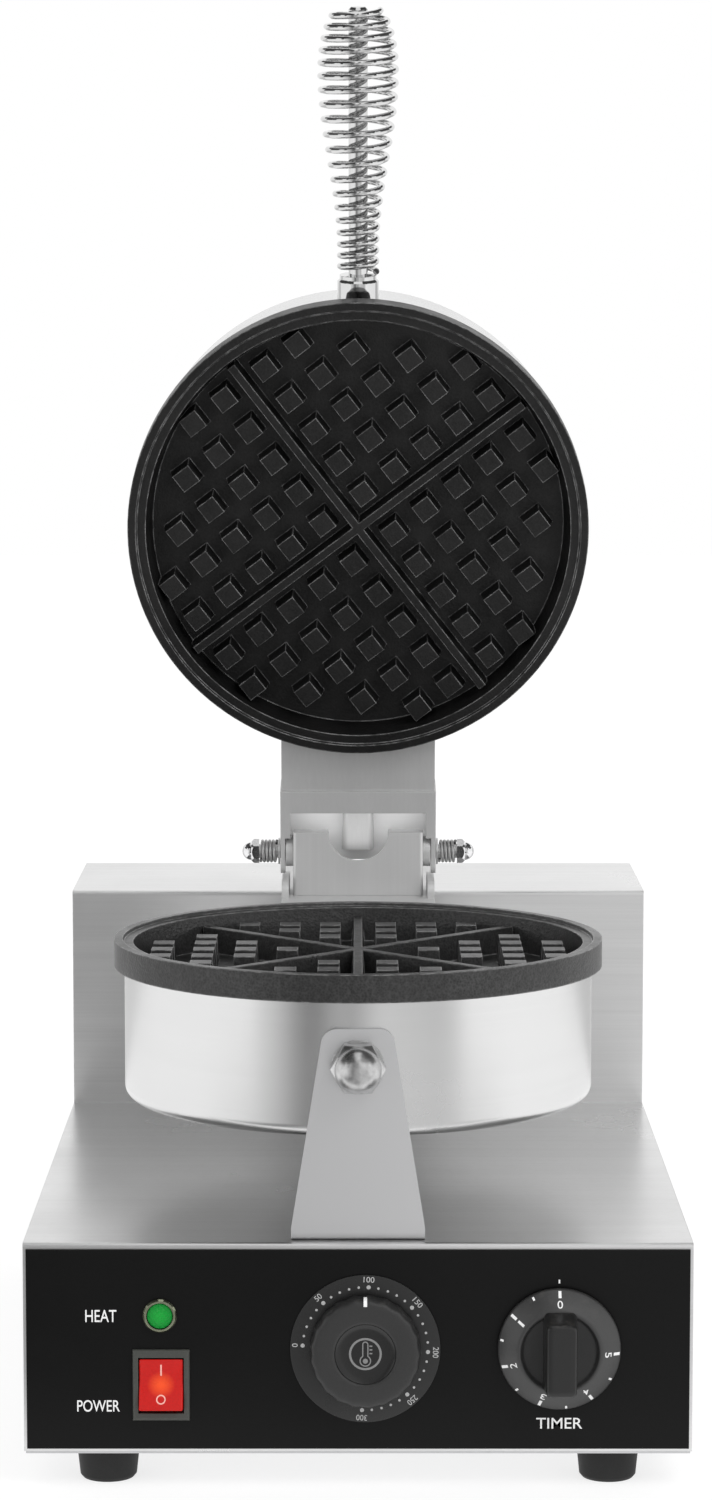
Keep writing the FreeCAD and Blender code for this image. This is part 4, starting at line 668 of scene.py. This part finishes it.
def lettering(words: str, width: float, height: float) -> bmesh.types.BMesh:
    """Return generic lettering as a thin raised mesh, centred, of exactly that width and height.

    Args:
        words: the characters.
        width: the overall width.
        height: the overall height.

    Returns:
        The shape, standing on z = 0.
    """
    text = bpy.data.curves.new("lettering", "FONT")
    text.body = words
    text.extrude = 0.01
    text.offset = STROKE_WEIGHT
    holder = bpy.data.objects.new("lettering", text)
    bpy.context.scene.collection.objects.link(holder)
    bpy.context.view_layer.update()
    evaluated = holder.evaluated_get(bpy.context.evaluated_depsgraph_get())
    mesh = bpy.data.meshes.new_from_object(evaluated)
    shape = bmesh.new()
    shape.from_mesh(mesh)
    bpy.data.objects.remove(holder)
    bpy.data.meshes.remove(mesh)
    bpy.data.curves.remove(text)
    low = Vector([min(v.co[i] for v in shape.verts) for i in range(3)])
    high = Vector([max(v.co[i] for v in shape.verts) for i in range(3)])
    middle, span = (low + high) / 2, high - low
    for vert in shape.verts:
        offset = vert.co - middle
        vert.co = Vector((offset.x * width / span.x, offset.y * height / span.y,
                          (vert.co.z - low.z) / span.z * INK_HEIGHT))
    return shape


def join_shape(target: bmesh.types.BMesh, added: bmesh.types.BMesh, move: Matrix) -> None:
    """Move a shape and merge it into the target."""
    added.transform(move)
    mesh = bpy.data.meshes.new("joining")
    added.to_mesh(mesh)
    added.free()
    target.from_mesh(mesh)
    bpy.data.meshes.remove(mesh)


def add_piece(name: str, shape: bmesh.types.BMesh, finish: Finish, body: Body, where: Matrix,
              replaced: Sequence[str] = (), sharp: float = 35.0) -> bpy.types.Object:
    """Make an object of a shape, dress it and let it ride on a body.

    Args:
        name: the piece's name.
        shape: its shape, in its own coordinates.
        finish: its finish.
        body: the body that it rides on.
        where: its placement.
        replaced: the frame's nodes that it stands for.
        sharp: edges over this angle, in degrees, stay sharp.

    Returns:
        The new object.
    """
    bmesh.ops.recalc_face_normals(shape, faces=shape.faces)
    for face in shape.faces:
        face.smooth = True
    mesh = bpy.data.meshes.new(name)
    shape.to_mesh(mesh)
    shape.free()
    mesh.set_sharp_from_angle(angle=math.radians(sharp))
    mesh.materials.append(finish.material())
    piece = bpy.data.objects.new(name, mesh)
    piece.matrix_world = where
    bpy.context.scene.collection.objects.link(piece)
    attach(piece, body.value)
    if replaced:
        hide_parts(*replaced)
    LOG.info("%s: %d faces, on %s", name, len(mesh.polygons), body.value)
    return piece


# ------------------------------------------------------------------ sub-assemblies
@dataclass
class SubAssembly(ABC):
    """A group of the machine's parts that is made and dressed together."""

    @abstractmethod
    def finishes(self) -> dict[str, Finish]:
        """Return the finish of each node that keeps its shape."""

    def build(self) -> None:
        """Model the pieces that the frame shows too plainly; most sub-assemblies have none."""

    def dress(self) -> None:
        """Give each kept node its finish."""
        for name, finish in self.finishes().items():
            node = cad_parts[name]
            for held in node.material_slots:
                held.material = finish.material()
            LOG.info("%s: dressed in %s", name, finish.name)


@dataclass
class Housing(SubAssembly):
    """The folded base with its panel, covers, feet and everything inside it."""

    def finishes(self) -> dict[str, Finish]:
        """Return the housing's finishes."""
        steel = ("foot_screws", "foot_nuts", "bottom_plate_screws", "rear_cover_screws", "frame_screws")
        dressed: dict[str, Finish] = {name: Finishes.FASTENER for name in steel}
        dressed |= {"base_shell": Finishes.SHELL, "control_panel": Finishes.PANEL, "bottom_plate": Finishes.COVER,
                    "rear_cover": Finishes.COVER, "rubber_feet": Finishes.RUBBER, "cable_gland": Finishes.CASE,
                    "gland_nut": Finishes.CASE, "terminal_block": Finishes.NYLON}
        return dressed


@dataclass
class PanelPrint(SubAssembly):
    """The three words printed on the panel and the timer's index mark, each as x, drop, width and height."""

    deck: float = 0.0935
    labels: dict[str, tuple[float, float, float, float]] = field(default_factory=lambda: {
        "HEAT": (-95.9, 27.3, 11.6, 4.6), "POWER": (-97.0, 61.6, 15.9, 4.4), "TIMER": (75.2, 68.2, 17.2, 4.1)})
    index: tuple[float, float] = (75.0, 14.2)
    mark_half: float = 0.7 * MM
    mark_width: float = 0.6 * MM

    def finishes(self) -> dict[str, Finish]:
        """Return no finishes: the panel is the housing's."""
        return {}

    def build(self) -> None:
        """Print the words and the index mark on the panel's face."""
        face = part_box("control_panel")[0].y
        for word, (x, drop, width, height) in self.labels.items():
            shape = lettering(word, width * MM, height * MM)
            add_piece(f"label_{word.lower()}", shape, Finishes.WHITE, Body.BASE,
                      at_front(x * MM, face, self.deck - drop * MM))
        mark = bmesh.new()
        ribbon(mark, [(0, -self.mark_half), (0, self.mark_half)], self.mark_width, INK_HEIGHT)
        x, drop = self.index
        add_piece("timer_index_mark", mark, Finishes.WHITE, Body.BASE, at_front(x * MM, face, self.deck - drop * MM))


@dataclass
class PilotLamp(SubAssembly):
    """A round green lamp: a bright glassy ring and a lens cut into a slanting lattice of small pyramids."""

    lens_radius: float = 4.75 * MM
    pitch: float = 1.55 * MM
    facet: float = 0.42 * MM
    dome_height: float = 1.5 * MM
    dome_fall: float = 0.55
    seat: float = 0.4 * MM

    def finishes(self) -> dict[str, Finish]:
        """Return the finishes of the ring and the barrel."""
        return {"lamp_ring": Finishes.GLASS_RING, "lamp_body": Finishes.CASE}

    def dome(self, x: float, y: float) -> float:
        """Return the lens's height at x and y."""
        return self.dome_height * (1 - self.dome_fall * (math.hypot(x, y) / self.lens_radius) ** 2) + self.seat

    def build(self) -> None:
        """Cut the lens's lattice: one pyramid for each cell."""
        shape = bmesh.new()
        reach = int(self.lens_radius / self.pitch) + 2
        parts = 2
        cell = self.pitch / parts
        turn = Matrix.Rotation(math.radians(45), 2)
        corners: dict[tuple[int, int], bmesh.types.BMVert] = {}

        def corner(column: int, row: int) -> bmesh.types.BMVert:
            """Return the lattice point's vertex; every cell's middle is raised."""
            if (column, row) not in corners:
                flat = turn @ Vector((column * cell, row * cell))
                far = flat.length
                if far > self.lens_radius:
                    flat *= self.lens_radius / far
                raised = self.facet if column % parts and row % parts else 0.0
                inside = raised if far <= self.lens_radius else 0.0
                corners[column, row] = shape.verts.new((flat.x, flat.y, self.dome(flat.x, flat.y) + inside))
            return corners[column, row]

        for column in range(-reach * parts, reach * parts):
            for row in range(-reach * parts, reach * parts):
                middle = Vector(((column + 0.5) * cell, (row + 0.5) * cell))
                if middle.length > self.lens_radius + cell * 0.4:
                    continue
                ends = [corner(column, row), corner(column + 1, row),
                        corner(column + 1, row + 1), corner(column, row + 1)]
                raised = next(i for i in range(4) if self.is_middle(column + (i in (1, 2)), row + (i in (2, 3))))
                for step in (1, 2):
                    shape.faces.new((ends[raised], ends[(raised + step) % 4], ends[(raised + step + 1) % 4]))
        bmesh.ops.dissolve_degenerate(shape, dist=1e-6, edges=shape.edges)
        low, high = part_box("lamp_lens")
        centre = (low + high) / 2
        add_piece("lamp_lens_cut", shape, Finishes.LENS, Body.BASE, at_front(centre.x, high.y, centre.z),
                  ("lamp_lens",), 8.0)

    @staticmethod
    def is_middle(column: int, row: int) -> bool:
        """Tell whether a lattice point is the middle of a cell."""
        return bool(column % 2 and row % 2)


@dataclass
class PowerSwitch(SubAssembly):
    """The lit rocker in its bezel; the key is two shallow hollows that meet at the pivot."""

    width: float = 16.4 * MM
    tip_out: float = 3.49 * MM
    tip_up: float = 9.58 * MM
    waist: float = 1.4 * MM
    root: float = 4.0 * MM
    tilt: float = 12.0
    pivot: tuple[float, float, float] = (-0.0735, -0.178, 0.0400)
    bar: tuple[float, float] = (3.4 * MM, 7.5 * MM)
    bar_width: float = 0.6 * MM
    ring: tuple[float, float] = (-5.4 * MM, 1.55 * MM)
    ring_width: float = 0.5 * MM

    def finishes(self) -> dict[str, Finish]:
        """Return the bezel's finish."""
        return {"switch_housing": Finishes.BEZEL}

    def face(self, x: float, y: float) -> float:
        """Return how far the key's face stands out at height y above the pivot."""
        share = min(1.0, abs(y) / self.tip_up)
        return self.waist + (self.tip_out - self.waist) * share ** 1.4

    def build(self) -> None:
        """Model the key and print its two marks."""
        where = at_front(*self.pivot) @ Matrix.Rotation(math.radians(-self.tilt), 4, "X")
        steps = 12
        heights = [self.tip_up * (2 * i / (2 * steps) - 1) for i in range(2 * steps + 1)]
        outline = [(h, self.face(0, h)) for h in heights]
        outline += [(self.tip_up * 0.93, -self.root), (-self.tip_up * 0.93, -self.root)]
        rings = [[Vector((side * self.width / 2, y, z)) for y, z in outline] for side in (-1, 1)]
        shape = loft(rings)
        key = add_piece("rocker_key_face", shape, Finishes.ROCKER, Body.ROCKER, where, ("rocker_switch",), 40.0)
        rounding = key.modifiers.new("soft_edges", "BEVEL")
        rounding.width = 0.6 * MM
        rounding.segments = 3
        rounding.angle_limit = math.radians(40)
        marks = bmesh.new()
        foot, top = self.bar
        line = [(0, foot + (top - foot) * i / 10) for i in range(11)]
        ribbon(marks, line, self.bar_width, INK_HEIGHT, surface=self.face)
        centre, radius = self.ring
        circle = arc(0, centre, radius, 0, 350, 35)
        ribbon(marks, circle, self.ring_width, INK_HEIGHT, closed=True, surface=self.face)
        add_piece("rocker_marks", marks, Finishes.PINK, Body.ROCKER, where)


@dataclass
class Thermostat(SubAssembly):
    """The temperature control: a printed scale disc and a round knob with a softly scalloped rim."""

    first_angle: float = 177.0
    step_angle: float = 9.0
    last_step: int = 30
    numeral_every: int = 5
    dot_radius: float = 23.4 * MM
    dot_sizes: tuple[float, float] = (0.48 * MM, 0.78 * MM)
    numeral_radius: float = 26.3 * MM
    digit: tuple[float, float] = (1.35 * MM, 2.15 * MM)
    rim: float = 20.85 * MM
    lobes: int = 21
    scallop: float = 0.42 * MM
    dish: float = 11.4 * MM
    depth: float = 10.0 * MM
    back: float = 1.5 * MM

    def finishes(self) -> dict[str, Finish]:
        """Return the finishes of the disc and of the parts behind the panel."""
        return {"thermostat_scale": Finishes.SCALE, "thermostat_body": Finishes.CASE,
                "thermostat_spindle": Finishes.FASTENER}

    def build(self) -> None:
        """Print the scale, then model the knob with its pointer and its mark."""
        low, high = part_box("thermostat_scale")
        centre = (low + high) / 2
        self.print_scale(at_front(centre.x, low.y, centre.z))
        where = at_front(centre.x, high.y, centre.z)
        self.model_knob(where)
        self.print_knob(where @ Matrix.Translation((0, 0, self.depth)))

    def print_scale(self, where: Matrix) -> None:
        """Print a dot for each ten degrees and a numeral for each fifty."""
        shape = bmesh.new()
        digit_width, digit_height = self.digit
        for step in range(self.last_step + 1):
            angle = math.radians(self.first_angle - self.step_angle * step)
            major = step % self.numeral_every == 0
            dot(shape, self.dot_radius * math.cos(angle), self.dot_radius * math.sin(angle),
                self.dot_sizes[major], INK_HEIGHT)
            if major:
                numeral = str(step * 10)
                turned = Matrix.Rotation(angle - math.pi / 2, 4, "Z")
                spot = Matrix.Translation((self.numeral_radius * math.cos(angle),
                                           self.numeral_radius * math.sin(angle), 0))
                join_shape(shape, lettering(numeral, digit_width * len(numeral), digit_height), spot @ turned)
        add_piece("thermostat_scale_print", shape, Finishes.PALE, Body.BASE, where)

    def ring(self, radius: float, height: float, share: float) -> list[Vector]:
        """Return a scalloped circle.

        Args:
            radius: its mean radius.
            height: its height.
            share: how much of the scallops' depth it has.

        Returns:
            Its points.
        """
        points = circle_ring(1.0, height, self.lobes * 10)
        waved = []
        for i, point in enumerate(points):
            reach = radius - share * self.scallop * (0.5 - 0.5 * math.cos(2 * math.pi * i / 10)) ** 0.8
            waved.append(Vector((point.x * reach, point.y * reach, height)))
        return waved

    def model_knob(self, where: Matrix) -> None:
        """Model the knob from its back edge, over the shoulder, to the dish in its face."""
        rim, top = self.rim, self.depth
        stations = [(rim - 0.5 * MM, self.back, 0.9), (rim, self.back + 0.5 * MM, 1.0),
                    (rim - 0.1 * MM, top - 2.6 * MM, 1.0), (rim - 0.35 * MM, top - 1.4 * MM, 0.95),
                    (rim - 0.9 * MM, top - 0.55 * MM, 0.8), (rim - 1.7 * MM, top - 0.12 * MM, 0.45),
                    (rim - 2.5 * MM, top, 0.15), (rim - 4.0 * MM, top, 0.0), (self.dish + 1.2 * MM, top, 0.0),
                    (self.dish + 0.35 * MM, top - 0.12 * MM, 0.0), (self.dish, top - 0.5 * MM, 0.0),
                    (self.dish - 0.1 * MM, top - 1.7 * MM, 0.0), (0.3 * MM, top - 1.7 * MM, 0.0)]
        shape = loft([self.ring(*station) for station in stations])
        add_piece("thermostat_knob_body", shape, Finishes.FACE, Body.THERMOSTAT, where, ("thermostat_knob",), 50.0)
        bowl = [(self.dish - 0.12 * MM, top - 1.75 * MM), (self.dish - 0.12 * MM, top - 0.75 * MM),
                (self.dish - 0.7 * MM, top - 1.15 * MM), (self.dish - 2.4 * MM, top - 1.42 * MM),
                (6.0 * MM, top - 1.5 * MM), (0.3 * MM, top - 1.5 * MM)]
        add_piece("thermostat_knob_dish", lathe(bowl), Finishes.GLOSS, Body.THERMOSTAT, where, sharp=40.0)

    def print_knob(self, where: Matrix) -> None:
        """Print the pointer on the rim and a ringed thermometer in the dish."""
        rim, half = self.rim, 0.65 * MM
        bend = [(rim - 2.6 * MM, 0.06), (rim - 1.6 * MM, -0.06), (rim - 0.8 * MM, -0.42), (rim - 0.2 * MM, -1.25),
                (rim + 0.05 * MM, -2.4), (rim + 0.05 * MM, -4.2)]
        rings = [[Vector((-half, r - 0.4 * MM, z * MM - 0.5 * MM)), Vector((half, r - 0.4 * MM, z * MM - 0.5 * MM)),
                  Vector((half, r, z * MM)), Vector((-half, r, z * MM))] for r, z in bend]
        add_piece("thermostat_pointer", loft(rings), Finishes.WHITE, Body.THERMOSTAT, where)
        mark = bmesh.new()
        stroke, rise = 0.42 * MM, 0.06 * MM
        ribbon(mark, arc(0, 0, 5.7 * MM, 0, 350, 35), 0.8 * MM, rise, closed=True)
        stem, bulb, low, high = 0.95 * MM, 1.95 * MM, -2.6 * MM, 3.6 * MM
        opening = math.degrees(math.asin(stem / bulb))
        outline = arc(0, low, bulb, 90 + opening, 450 - opening, 30) + arc(0, high, stem, 0, 180, 12)
        ribbon(mark, outline, stroke, rise, closed=True)
        dot(mark, 0, low - 0.1 * MM, 0.95 * MM, rise)
        for tick in range(3):
            y = 0.2 * MM + tick * 1.4 * MM
            ribbon(mark, [(1.5 * MM, y), (2.6 * MM, y)], 0.5 * MM, rise)
        sunk = where @ Matrix.Translation((0, 0, -1.5 * MM))
        add_piece("thermostat_knob_mark", mark, Finishes.DIM, Body.THERMOSTAT, sunk)


@dataclass
class Timer(SubAssembly):
    """The clockwork timer: a conical skirt with the minutes printed on it and an upright grip."""

    skirt: float = 22.95 * MM
    rim: float = 15.9 * MM
    recess: float = 14.4 * MM
    edge_height: float = 3.2 * MM
    slope_height: float = 5.2 * MM
    step_angle: float = 26.67
    last_step: int = 10
    tick_end: float = 22.4 * MM
    tick_starts: tuple[float, float] = (21.2 * MM, 20.1 * MM)
    tick_widths: tuple[float, float] = (0.8 * MM, 1.1 * MM)
    tick_height: float = 0.05 * MM
    numeral_radius: float = 18.0 * MM
    numeral_height: float = 3.1 * MM
    numeral_lift: float = 0.03 * MM

    def finishes(self) -> dict[str, Finish]:
        """Return the finishes of the parts behind the panel."""
        return {"timer_body": Finishes.CASE, "timer_spindle": Finishes.FASTENER}

    def cone(self, x: float, y: float) -> float:
        """Return the skirt's height at x and y."""
        share = (self.skirt - math.hypot(x, y)) / (self.skirt - self.rim)
        return self.edge_height + self.slope_height * share

    def build(self) -> None:
        """Model the skirt and the grip, then print the minutes."""
        low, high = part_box("timer_knob")
        middle = (low + high) / 2
        where = at_front(middle.x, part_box("control_panel")[0].y, middle.z)
        self.model_skirt(where)
        self.model_grip(where)
        self.print_minutes(where)

    def model_skirt(self, where: Matrix) -> None:
        """Model the skirt's edge, cone, rim and recess."""
        profile = [(self.skirt - 0.4 * MM, 0.7 * MM), (self.skirt, 1.1 * MM), (self.skirt, 2.7 * MM),
                   (self.skirt - 0.15 * MM, 3.1 * MM), (self.skirt - 0.5 * MM, 3.55 * MM),
                   (self.rim + 0.5 * MM, self.cone(self.rim + 0.5 * MM, 0)), (self.rim, 8.3 * MM),
                   (self.rim - 0.5 * MM, 8.45 * MM), (self.recess + 0.3 * MM, 8.4 * MM), (self.recess, 8.1 * MM),
                   (self.recess - 0.5 * MM, 6.9 * MM), (self.recess - 1.1 * MM, 6.5 * MM), (0.3 * MM, 6.5 * MM)]
        add_piece("timer_skirt", lathe(profile, 128), Finishes.SKIRT, Body.TIMER, where, ("timer_knob",), 60.0)

    def model_grip(self, where: Matrix) -> None:
        """Model the upright grip with its sloping ends and rounded face."""
        stations = [(12.6, 31.4, 2.2, 6.45), (12.3, 30.6, 2.2, 8.6), (12.0, 29.4, 2.2, 12.0), (11.7, 28.4, 2.1, 16.0),
                    (11.5, 27.6, 2.1, 19.6), (11.2, 27.0, 2.0, 20.9), (10.5, 26.3, 1.9, 21.6), (9.4, 25.2, 1.7, 22.0),
                    (6.0, 22.0, 1.2, 22.0)]
        rings = [rounded_rectangle(w * MM, l * MM, c * MM, z * MM) for w, l, c, z in stations]
        add_piece("timer_grip", loft(rings), Finishes.KNOB, Body.TIMER, where, sharp=50.0)

    def print_minutes(self, where: Matrix) -> None:
        """Print a tick for each half minute and a numeral for each minute, on the slope of the skirt."""
        shape = bmesh.new()
        slope = math.atan2(self.slope_height, self.skirt - self.rim)
        for step in range(self.last_step + 1):
            angle = math.radians(90 + self.step_angle * step)
            out = Vector((math.cos(angle), math.sin(angle)))
            whole = step % 2 == 0
            start, end = self.tick_starts[whole], self.tick_end
            line = [tuple(out * (start + (end - start) * i / 3)) for i in range(4)]
            ribbon(shape, line, self.tick_widths[whole], self.tick_height, surface=self.cone)
            if whole:
                numeral = lettering(str(step // 2), (1.0 if step == 2 else 2.0) * MM, self.numeral_height)
                reach = self.numeral_radius
                spot = Matrix.Translation((out.x * reach, out.y * reach, self.cone(reach, 0) + self.numeral_lift))
                lean = Matrix.Rotation(angle - math.pi / 2, 4, "Z") @ Matrix.Rotation(-slope, 4, "X")
                join_shape(shape, numeral, spot @ lean)
        add_piece("timer_minutes_print", shape, Finishes.WHITE, Body.TIMER, where)


@dataclass
class Plates(SubAssembly):
    """Both cast plates, their drums and what heats them."""

    def finishes(self) -> dict[str, Finish]:
        """Return the finishes of the plates, drums, elements and wiring."""
        dressed: dict[str, Finish] = {"wire_conduit": Finishes.COVER, "thermostat_bulb": Finishes.TUBE}
        for level in ("lower", "upper"):
            dressed |= {f"{level}_drum": Finishes.DRUM, f"{level}_element": Finishes.SHEATH,
                        f"{level}_insulation": Finishes.WOOL}
        return dressed | {"lower_plate": Finishes.IRON, "upper_plate": Finishes.DARK_IRON}


@dataclass
class FrontBracket(SubAssembly):
    """The bracket in front of the drum, with its stud, washer and domed nut."""

    def finishes(self) -> dict[str, Finish]:
        """Return the bracket's finishes."""
        return {"front_bracket": Finishes.BRACKET, "drum_stud": Finishes.FASTENER,
                "bracket_washer": Finishes.NUT, "bracket_nut": Finishes.NUT}


@dataclass
class Hinge(SubAssembly):
    """The bridge, the seat and the sprung bolts that hold the lid where it is put."""

    def finishes(self) -> dict[str, Finish]:
        """Return the hinge's finishes."""
        return {"hinge_bridge": Finishes.HINGE, "drum_bolts": Finishes.FASTENER, "drum_spacers": Finishes.FASTENER,
                "hinge_bracket": Finishes.HINGE, "hinge_bolts": Finishes.FASTENER,
                "hinge_spacers": Finishes.HINGE, "hinge_washers": Finishes.FASTENER,
                "hinge_springs": Finishes.SPRING, "hinge_cap_nuts": Finishes.POLISHED}


@dataclass
class LidArm(SubAssembly):
    """The folded arm that carries the lid, its yoke, cover and wire duct."""

    def finishes(self) -> dict[str, Finish]:
        """Return the arm's finishes."""
        return {"lid_arm": Finishes.ARM, "lid_arm_bolts": Finishes.FASTENER, "hinge_yoke": Finishes.HINGE,
                "yoke_rivets": Finishes.HINGE, "lid_arm_cover": Finishes.BRIGHT,
                "arm_cover_screws": Finishes.FASTENER, "wire_duct": Finishes.DUCT}


@dataclass
class Handle(SubAssembly):
    """The sprung wire handle that stays cool: ferrule, rod, coil and its inside nut."""

    def finishes(self) -> dict[str, Finish]:
        """Return the handle's finishes."""
        return {"handle_ferrule": Finishes.CHROME, "handle_rod": Finishes.CHROME, "handle_coil": Finishes.CHROME,
                "handle_nut": Finishes.FASTENER}


# ------------------------------------------------------------------ studio
@dataclass(frozen=True)
class Flag:
    """A black stage card that stands or lies square to the room.

    Args:
        name: its name.
        across: where it starts and ends along x.
        along: where it starts and ends along y.
        up: where it starts and ends along z.
        level: how bright reflections see it.
        shaded: shade it from left to right.
    """

    name: str
    across: tuple[float, float]
    along: tuple[float, float]
    up: tuple[float, float]
    level: float
    shaded: bool = False

    def corners(self) -> list[tuple[float, float, float]]:
        """Return its four corners, in order round it."""
        (x, far_x), (y, far_y), (z, far_z) = self.across, self.along, self.up
        if z == far_z:
            return [(x, y, z), (far_x, y, z), (far_x, far_y, z), (x, far_y, z)]
        return [(x, y, z), (far_x, far_y, z), (far_x, far_y, far_z), (x, y, far_z)]


FLAGS = (
    Flag("studio_flag_front", (-0.6, 0.6), (-0.62, -0.62), (0.002, 0.8), 1.0, True),
    Flag("studio_flag_low", (-0.6, 0.6), (-0.62, -0.27), (0.002, 0.002), 1.0, True),
    Flag("studio_ceiling_left", (-0.28, -1.7), (-1.6, 1.4), (1.5, 1.5), 0.06),
    Flag("studio_ceiling_right", (0.28, 1.7), (-1.6, 1.4), (1.5, 1.5), 0.06),
    Flag("studio_side_left", (-1.1, -1.1), (-0.35, 0.5), (0.62, 1.3), 0.1),
    Flag("studio_side_right", (1.1, 1.1), (-0.35, 0.5), (0.62, 1.3), 0.1),
    Flag("studio_high_wide", (-0.9, -0.16), (-0.7, -0.7), (0.5, 1.3), 0.02),
    Flag("studio_high_narrow", (-0.03, 0.07), (-0.7, -0.7), (0.5, 1.3), 0.02),
    Flag("studio_high_far", (0.24, 0.9), (-0.7, -0.7), (0.5, 1.3), 0.02),
    Flag("studio_back_left", (-0.24, -1.5), (0.62, 0.62), (0.002, 0.42), 0.7),
    Flag("studio_back_right", (0.24, 1.5), (0.62, 0.62), (0.002, 0.42), 0.6),
)


@dataclass
class Studio:
    """A pale floor, soft even light, dark flags that only reflections see, and the camera."""

    camera_at: tuple[float, float, float] = (0.0, -1.642, 0.4325)
    camera_drop: float = 6.01
    camera_turn: float = 0.03
    lens: float = 96.2
    floor_half: float = 6.0
    floor_level: float = 0.3
    floor_glow: float = 0.74
    key_at: tuple[float, float, float] = (1.1, -1.3, 1.7)
    key_aim: tuple[float, float, float] = (0.0, 0.0, 0.25)
    key_size: float = 1.2
    key_energy: float = 14.0
    filler_at: tuple[float, float, float] = (0.0, 0.063, 0.2205)
    filler_size: tuple[float, float] = (0.054, 0.02)
    filler_energy: float = 0.0046
    shade_half: float = 0.6
    shade: tuple[tuple[float, float], ...] = (
        (-0.6, 0.9), (-0.51, 0.8), (-0.39, 0.66), (-0.3, 0.4), (-0.224, 0.18), (-0.154, 0.25), (-0.089, 0.54),
        (-0.0265, 0.36), (0.035, 0.58), (0.098, 0.78), (0.164, 0.7), (0.31, 0.66), (0.4, 0.6), (0.5, 0.66),
        (0.6, 0.85))

    def build(self) -> None:
        """Set the sky, floor, flags, both lights and the camera."""
        self.light_sky()
        self.lay_floor()
        self.hang_flags()
        self.add_key()
        self.add_filler()
        self.aim_camera()

    @staticmethod
    def light_sky() -> None:
        """Light the whole scene with an even white sky."""
        world = bpy.data.worlds.new("studio_sky")
        world.use_nodes = True
        background = world.node_tree.nodes["Background"]
        background.inputs["Color"].default_value = (1, 1, 1, 1)
        background.inputs["Strength"].default_value = 1.0
        bpy.context.scene.world = world
        bpy.context.scene.view_settings.view_transform = "Standard"

    @staticmethod
    def card(name: str, corners: Sequence[tuple[float, float, float]], colour: Colour,
             glow: float) -> bpy.types.Object:
        """Add one stage card.

        Args:
            name: its name.
            corners: its four corners.
            colour: its colour.
            glow: how much light it gives off by itself.

        Returns:
            The card.
        """
        material = bpy.data.materials.new(f"{name}_paint")
        material.use_nodes = True
        shader = material.node_tree.nodes["Principled BSDF"]
        shader.inputs["Base Color"].default_value = colour
        shader.inputs["Roughness"].default_value = 1.0
        shader.inputs["Specular IOR Level"].default_value = 0.0
        shader.inputs["Emission Color"].default_value = (1, 1, 1, 1)
        shader.inputs["Emission Strength"].default_value = glow
        mesh = bpy.data.meshes.new(name)
        mesh.from_pydata(corners, [], [tuple(range(4))])
        mesh.materials.append(material)
        made = bpy.data.objects.new(name, mesh)
        bpy.context.scene.collection.objects.link(made)
        return made

    def lay_floor(self) -> None:
        """Lay the pale floor that the machine stands on."""
        half = self.floor_half
        corners = [(-half, -half, 0), (half, -half, 0), (half, half, 0), (-half, half, 0)]
        self.card("studio_floor", corners, grey(self.floor_level), self.floor_glow)

    def hang_flags(self) -> None:
        """Hang cards in front, overhead, beside and behind, where only reflections see them."""
        for flag in FLAGS:
            card = self.card(flag.name, flag.corners(), BLACK, flag.level)
            if flag.shaded:
                self.shade_card(card)
            card.visible_camera = False
            card.visible_diffuse = False
            card.visible_shadow = False

    def shade_card(self, card: bpy.types.Object) -> None:
        """Shade a card from left to right with the studio's shade table."""
        graph = Graph(card.data.materials[0].node_tree)
        shader = graph.tree.nodes["Principled BSDF"]
        across = graph.add("ShaderNodeSeparateXYZ", {0: EffectShelf.place(graph)}).outputs[0]
        share = graph.remap(across, (-self.shade_half, self.shade_half), 0.0, 1.0)
        ramp = graph.add("ShaderNodeValToRGB", {0: share})
        stops = ramp.color_ramp.elements
        while len(stops) < len(self.shade):
            stops.new(0.5)
        for stop, (x, level) in zip(stops, self.shade):
            stop.position = (x + self.shade_half) / (2 * self.shade_half)
            stop.color = grey(level)
        graph.feed(shader.inputs["Emission Color"], ramp.outputs[0])

    def add_key(self) -> None:
        """Add one large soft light, high on the right."""
        light = bpy.data.lights.new("studio_key", "AREA")
        light.shape = "DISK"
        light.size = self.key_size
        light.energy = self.key_energy
        key = bpy.data.objects.new("studio_key", light)
        place = Vector(self.key_at)
        towards = (Vector(self.key_aim) - place).to_track_quat("-Z", "Y")
        key.matrix_world = Matrix.Translation(place) @ towards.to_matrix().to_4x4()
        bpy.context.scene.collection.objects.link(key)

    def add_filler(self) -> None:
        """Add a small light inside the hinge, so that the cover behind its window shows bright."""
        light = bpy.data.lights.new("studio_filler", "AREA")
        light.shape = "RECTANGLE"
        light.size, light.size_y = self.filler_size
        light.energy = self.filler_energy
        filler = bpy.data.objects.new("studio_filler", light)
        filler.location = self.filler_at
        filler.rotation_euler = (math.radians(90), 0, 0)
        filler.visible_glossy = False
        bpy.context.scene.collection.objects.link(filler)

    def aim_camera(self) -> None:
        """Set up the camera."""
        data = bpy.data.cameras.new("camera")
        data.sensor_fit = "VERTICAL"
        data.sensor_height = 36.0
        data.lens = self.lens
        camera = bpy.data.objects.new("camera", data)
        camera.location = self.camera_at
        camera.rotation_euler = (math.radians(90 - self.camera_drop), 0, math.radians(self.camera_turn))
        bpy.context.scene.collection.objects.link(camera)
        bpy.context.scene.camera = camera


def main() -> None:
    """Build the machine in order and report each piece."""
    logging.basicConfig(level=logging.INFO, format="%(message)s")
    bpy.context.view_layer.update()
    machine: list[SubAssembly] = [Housing(), PanelPrint(), PilotLamp(), PowerSwitch(), Thermostat(), Timer(),
                                  Plates(), FrontBracket(), Hinge(), LidArm(), Handle()]
    for part in machine:
        part.build()
        part.dress()
        LOG.info("%s is done", type(part).__name__)
    Studio().build()


if __name__ == "__main__":
    main()
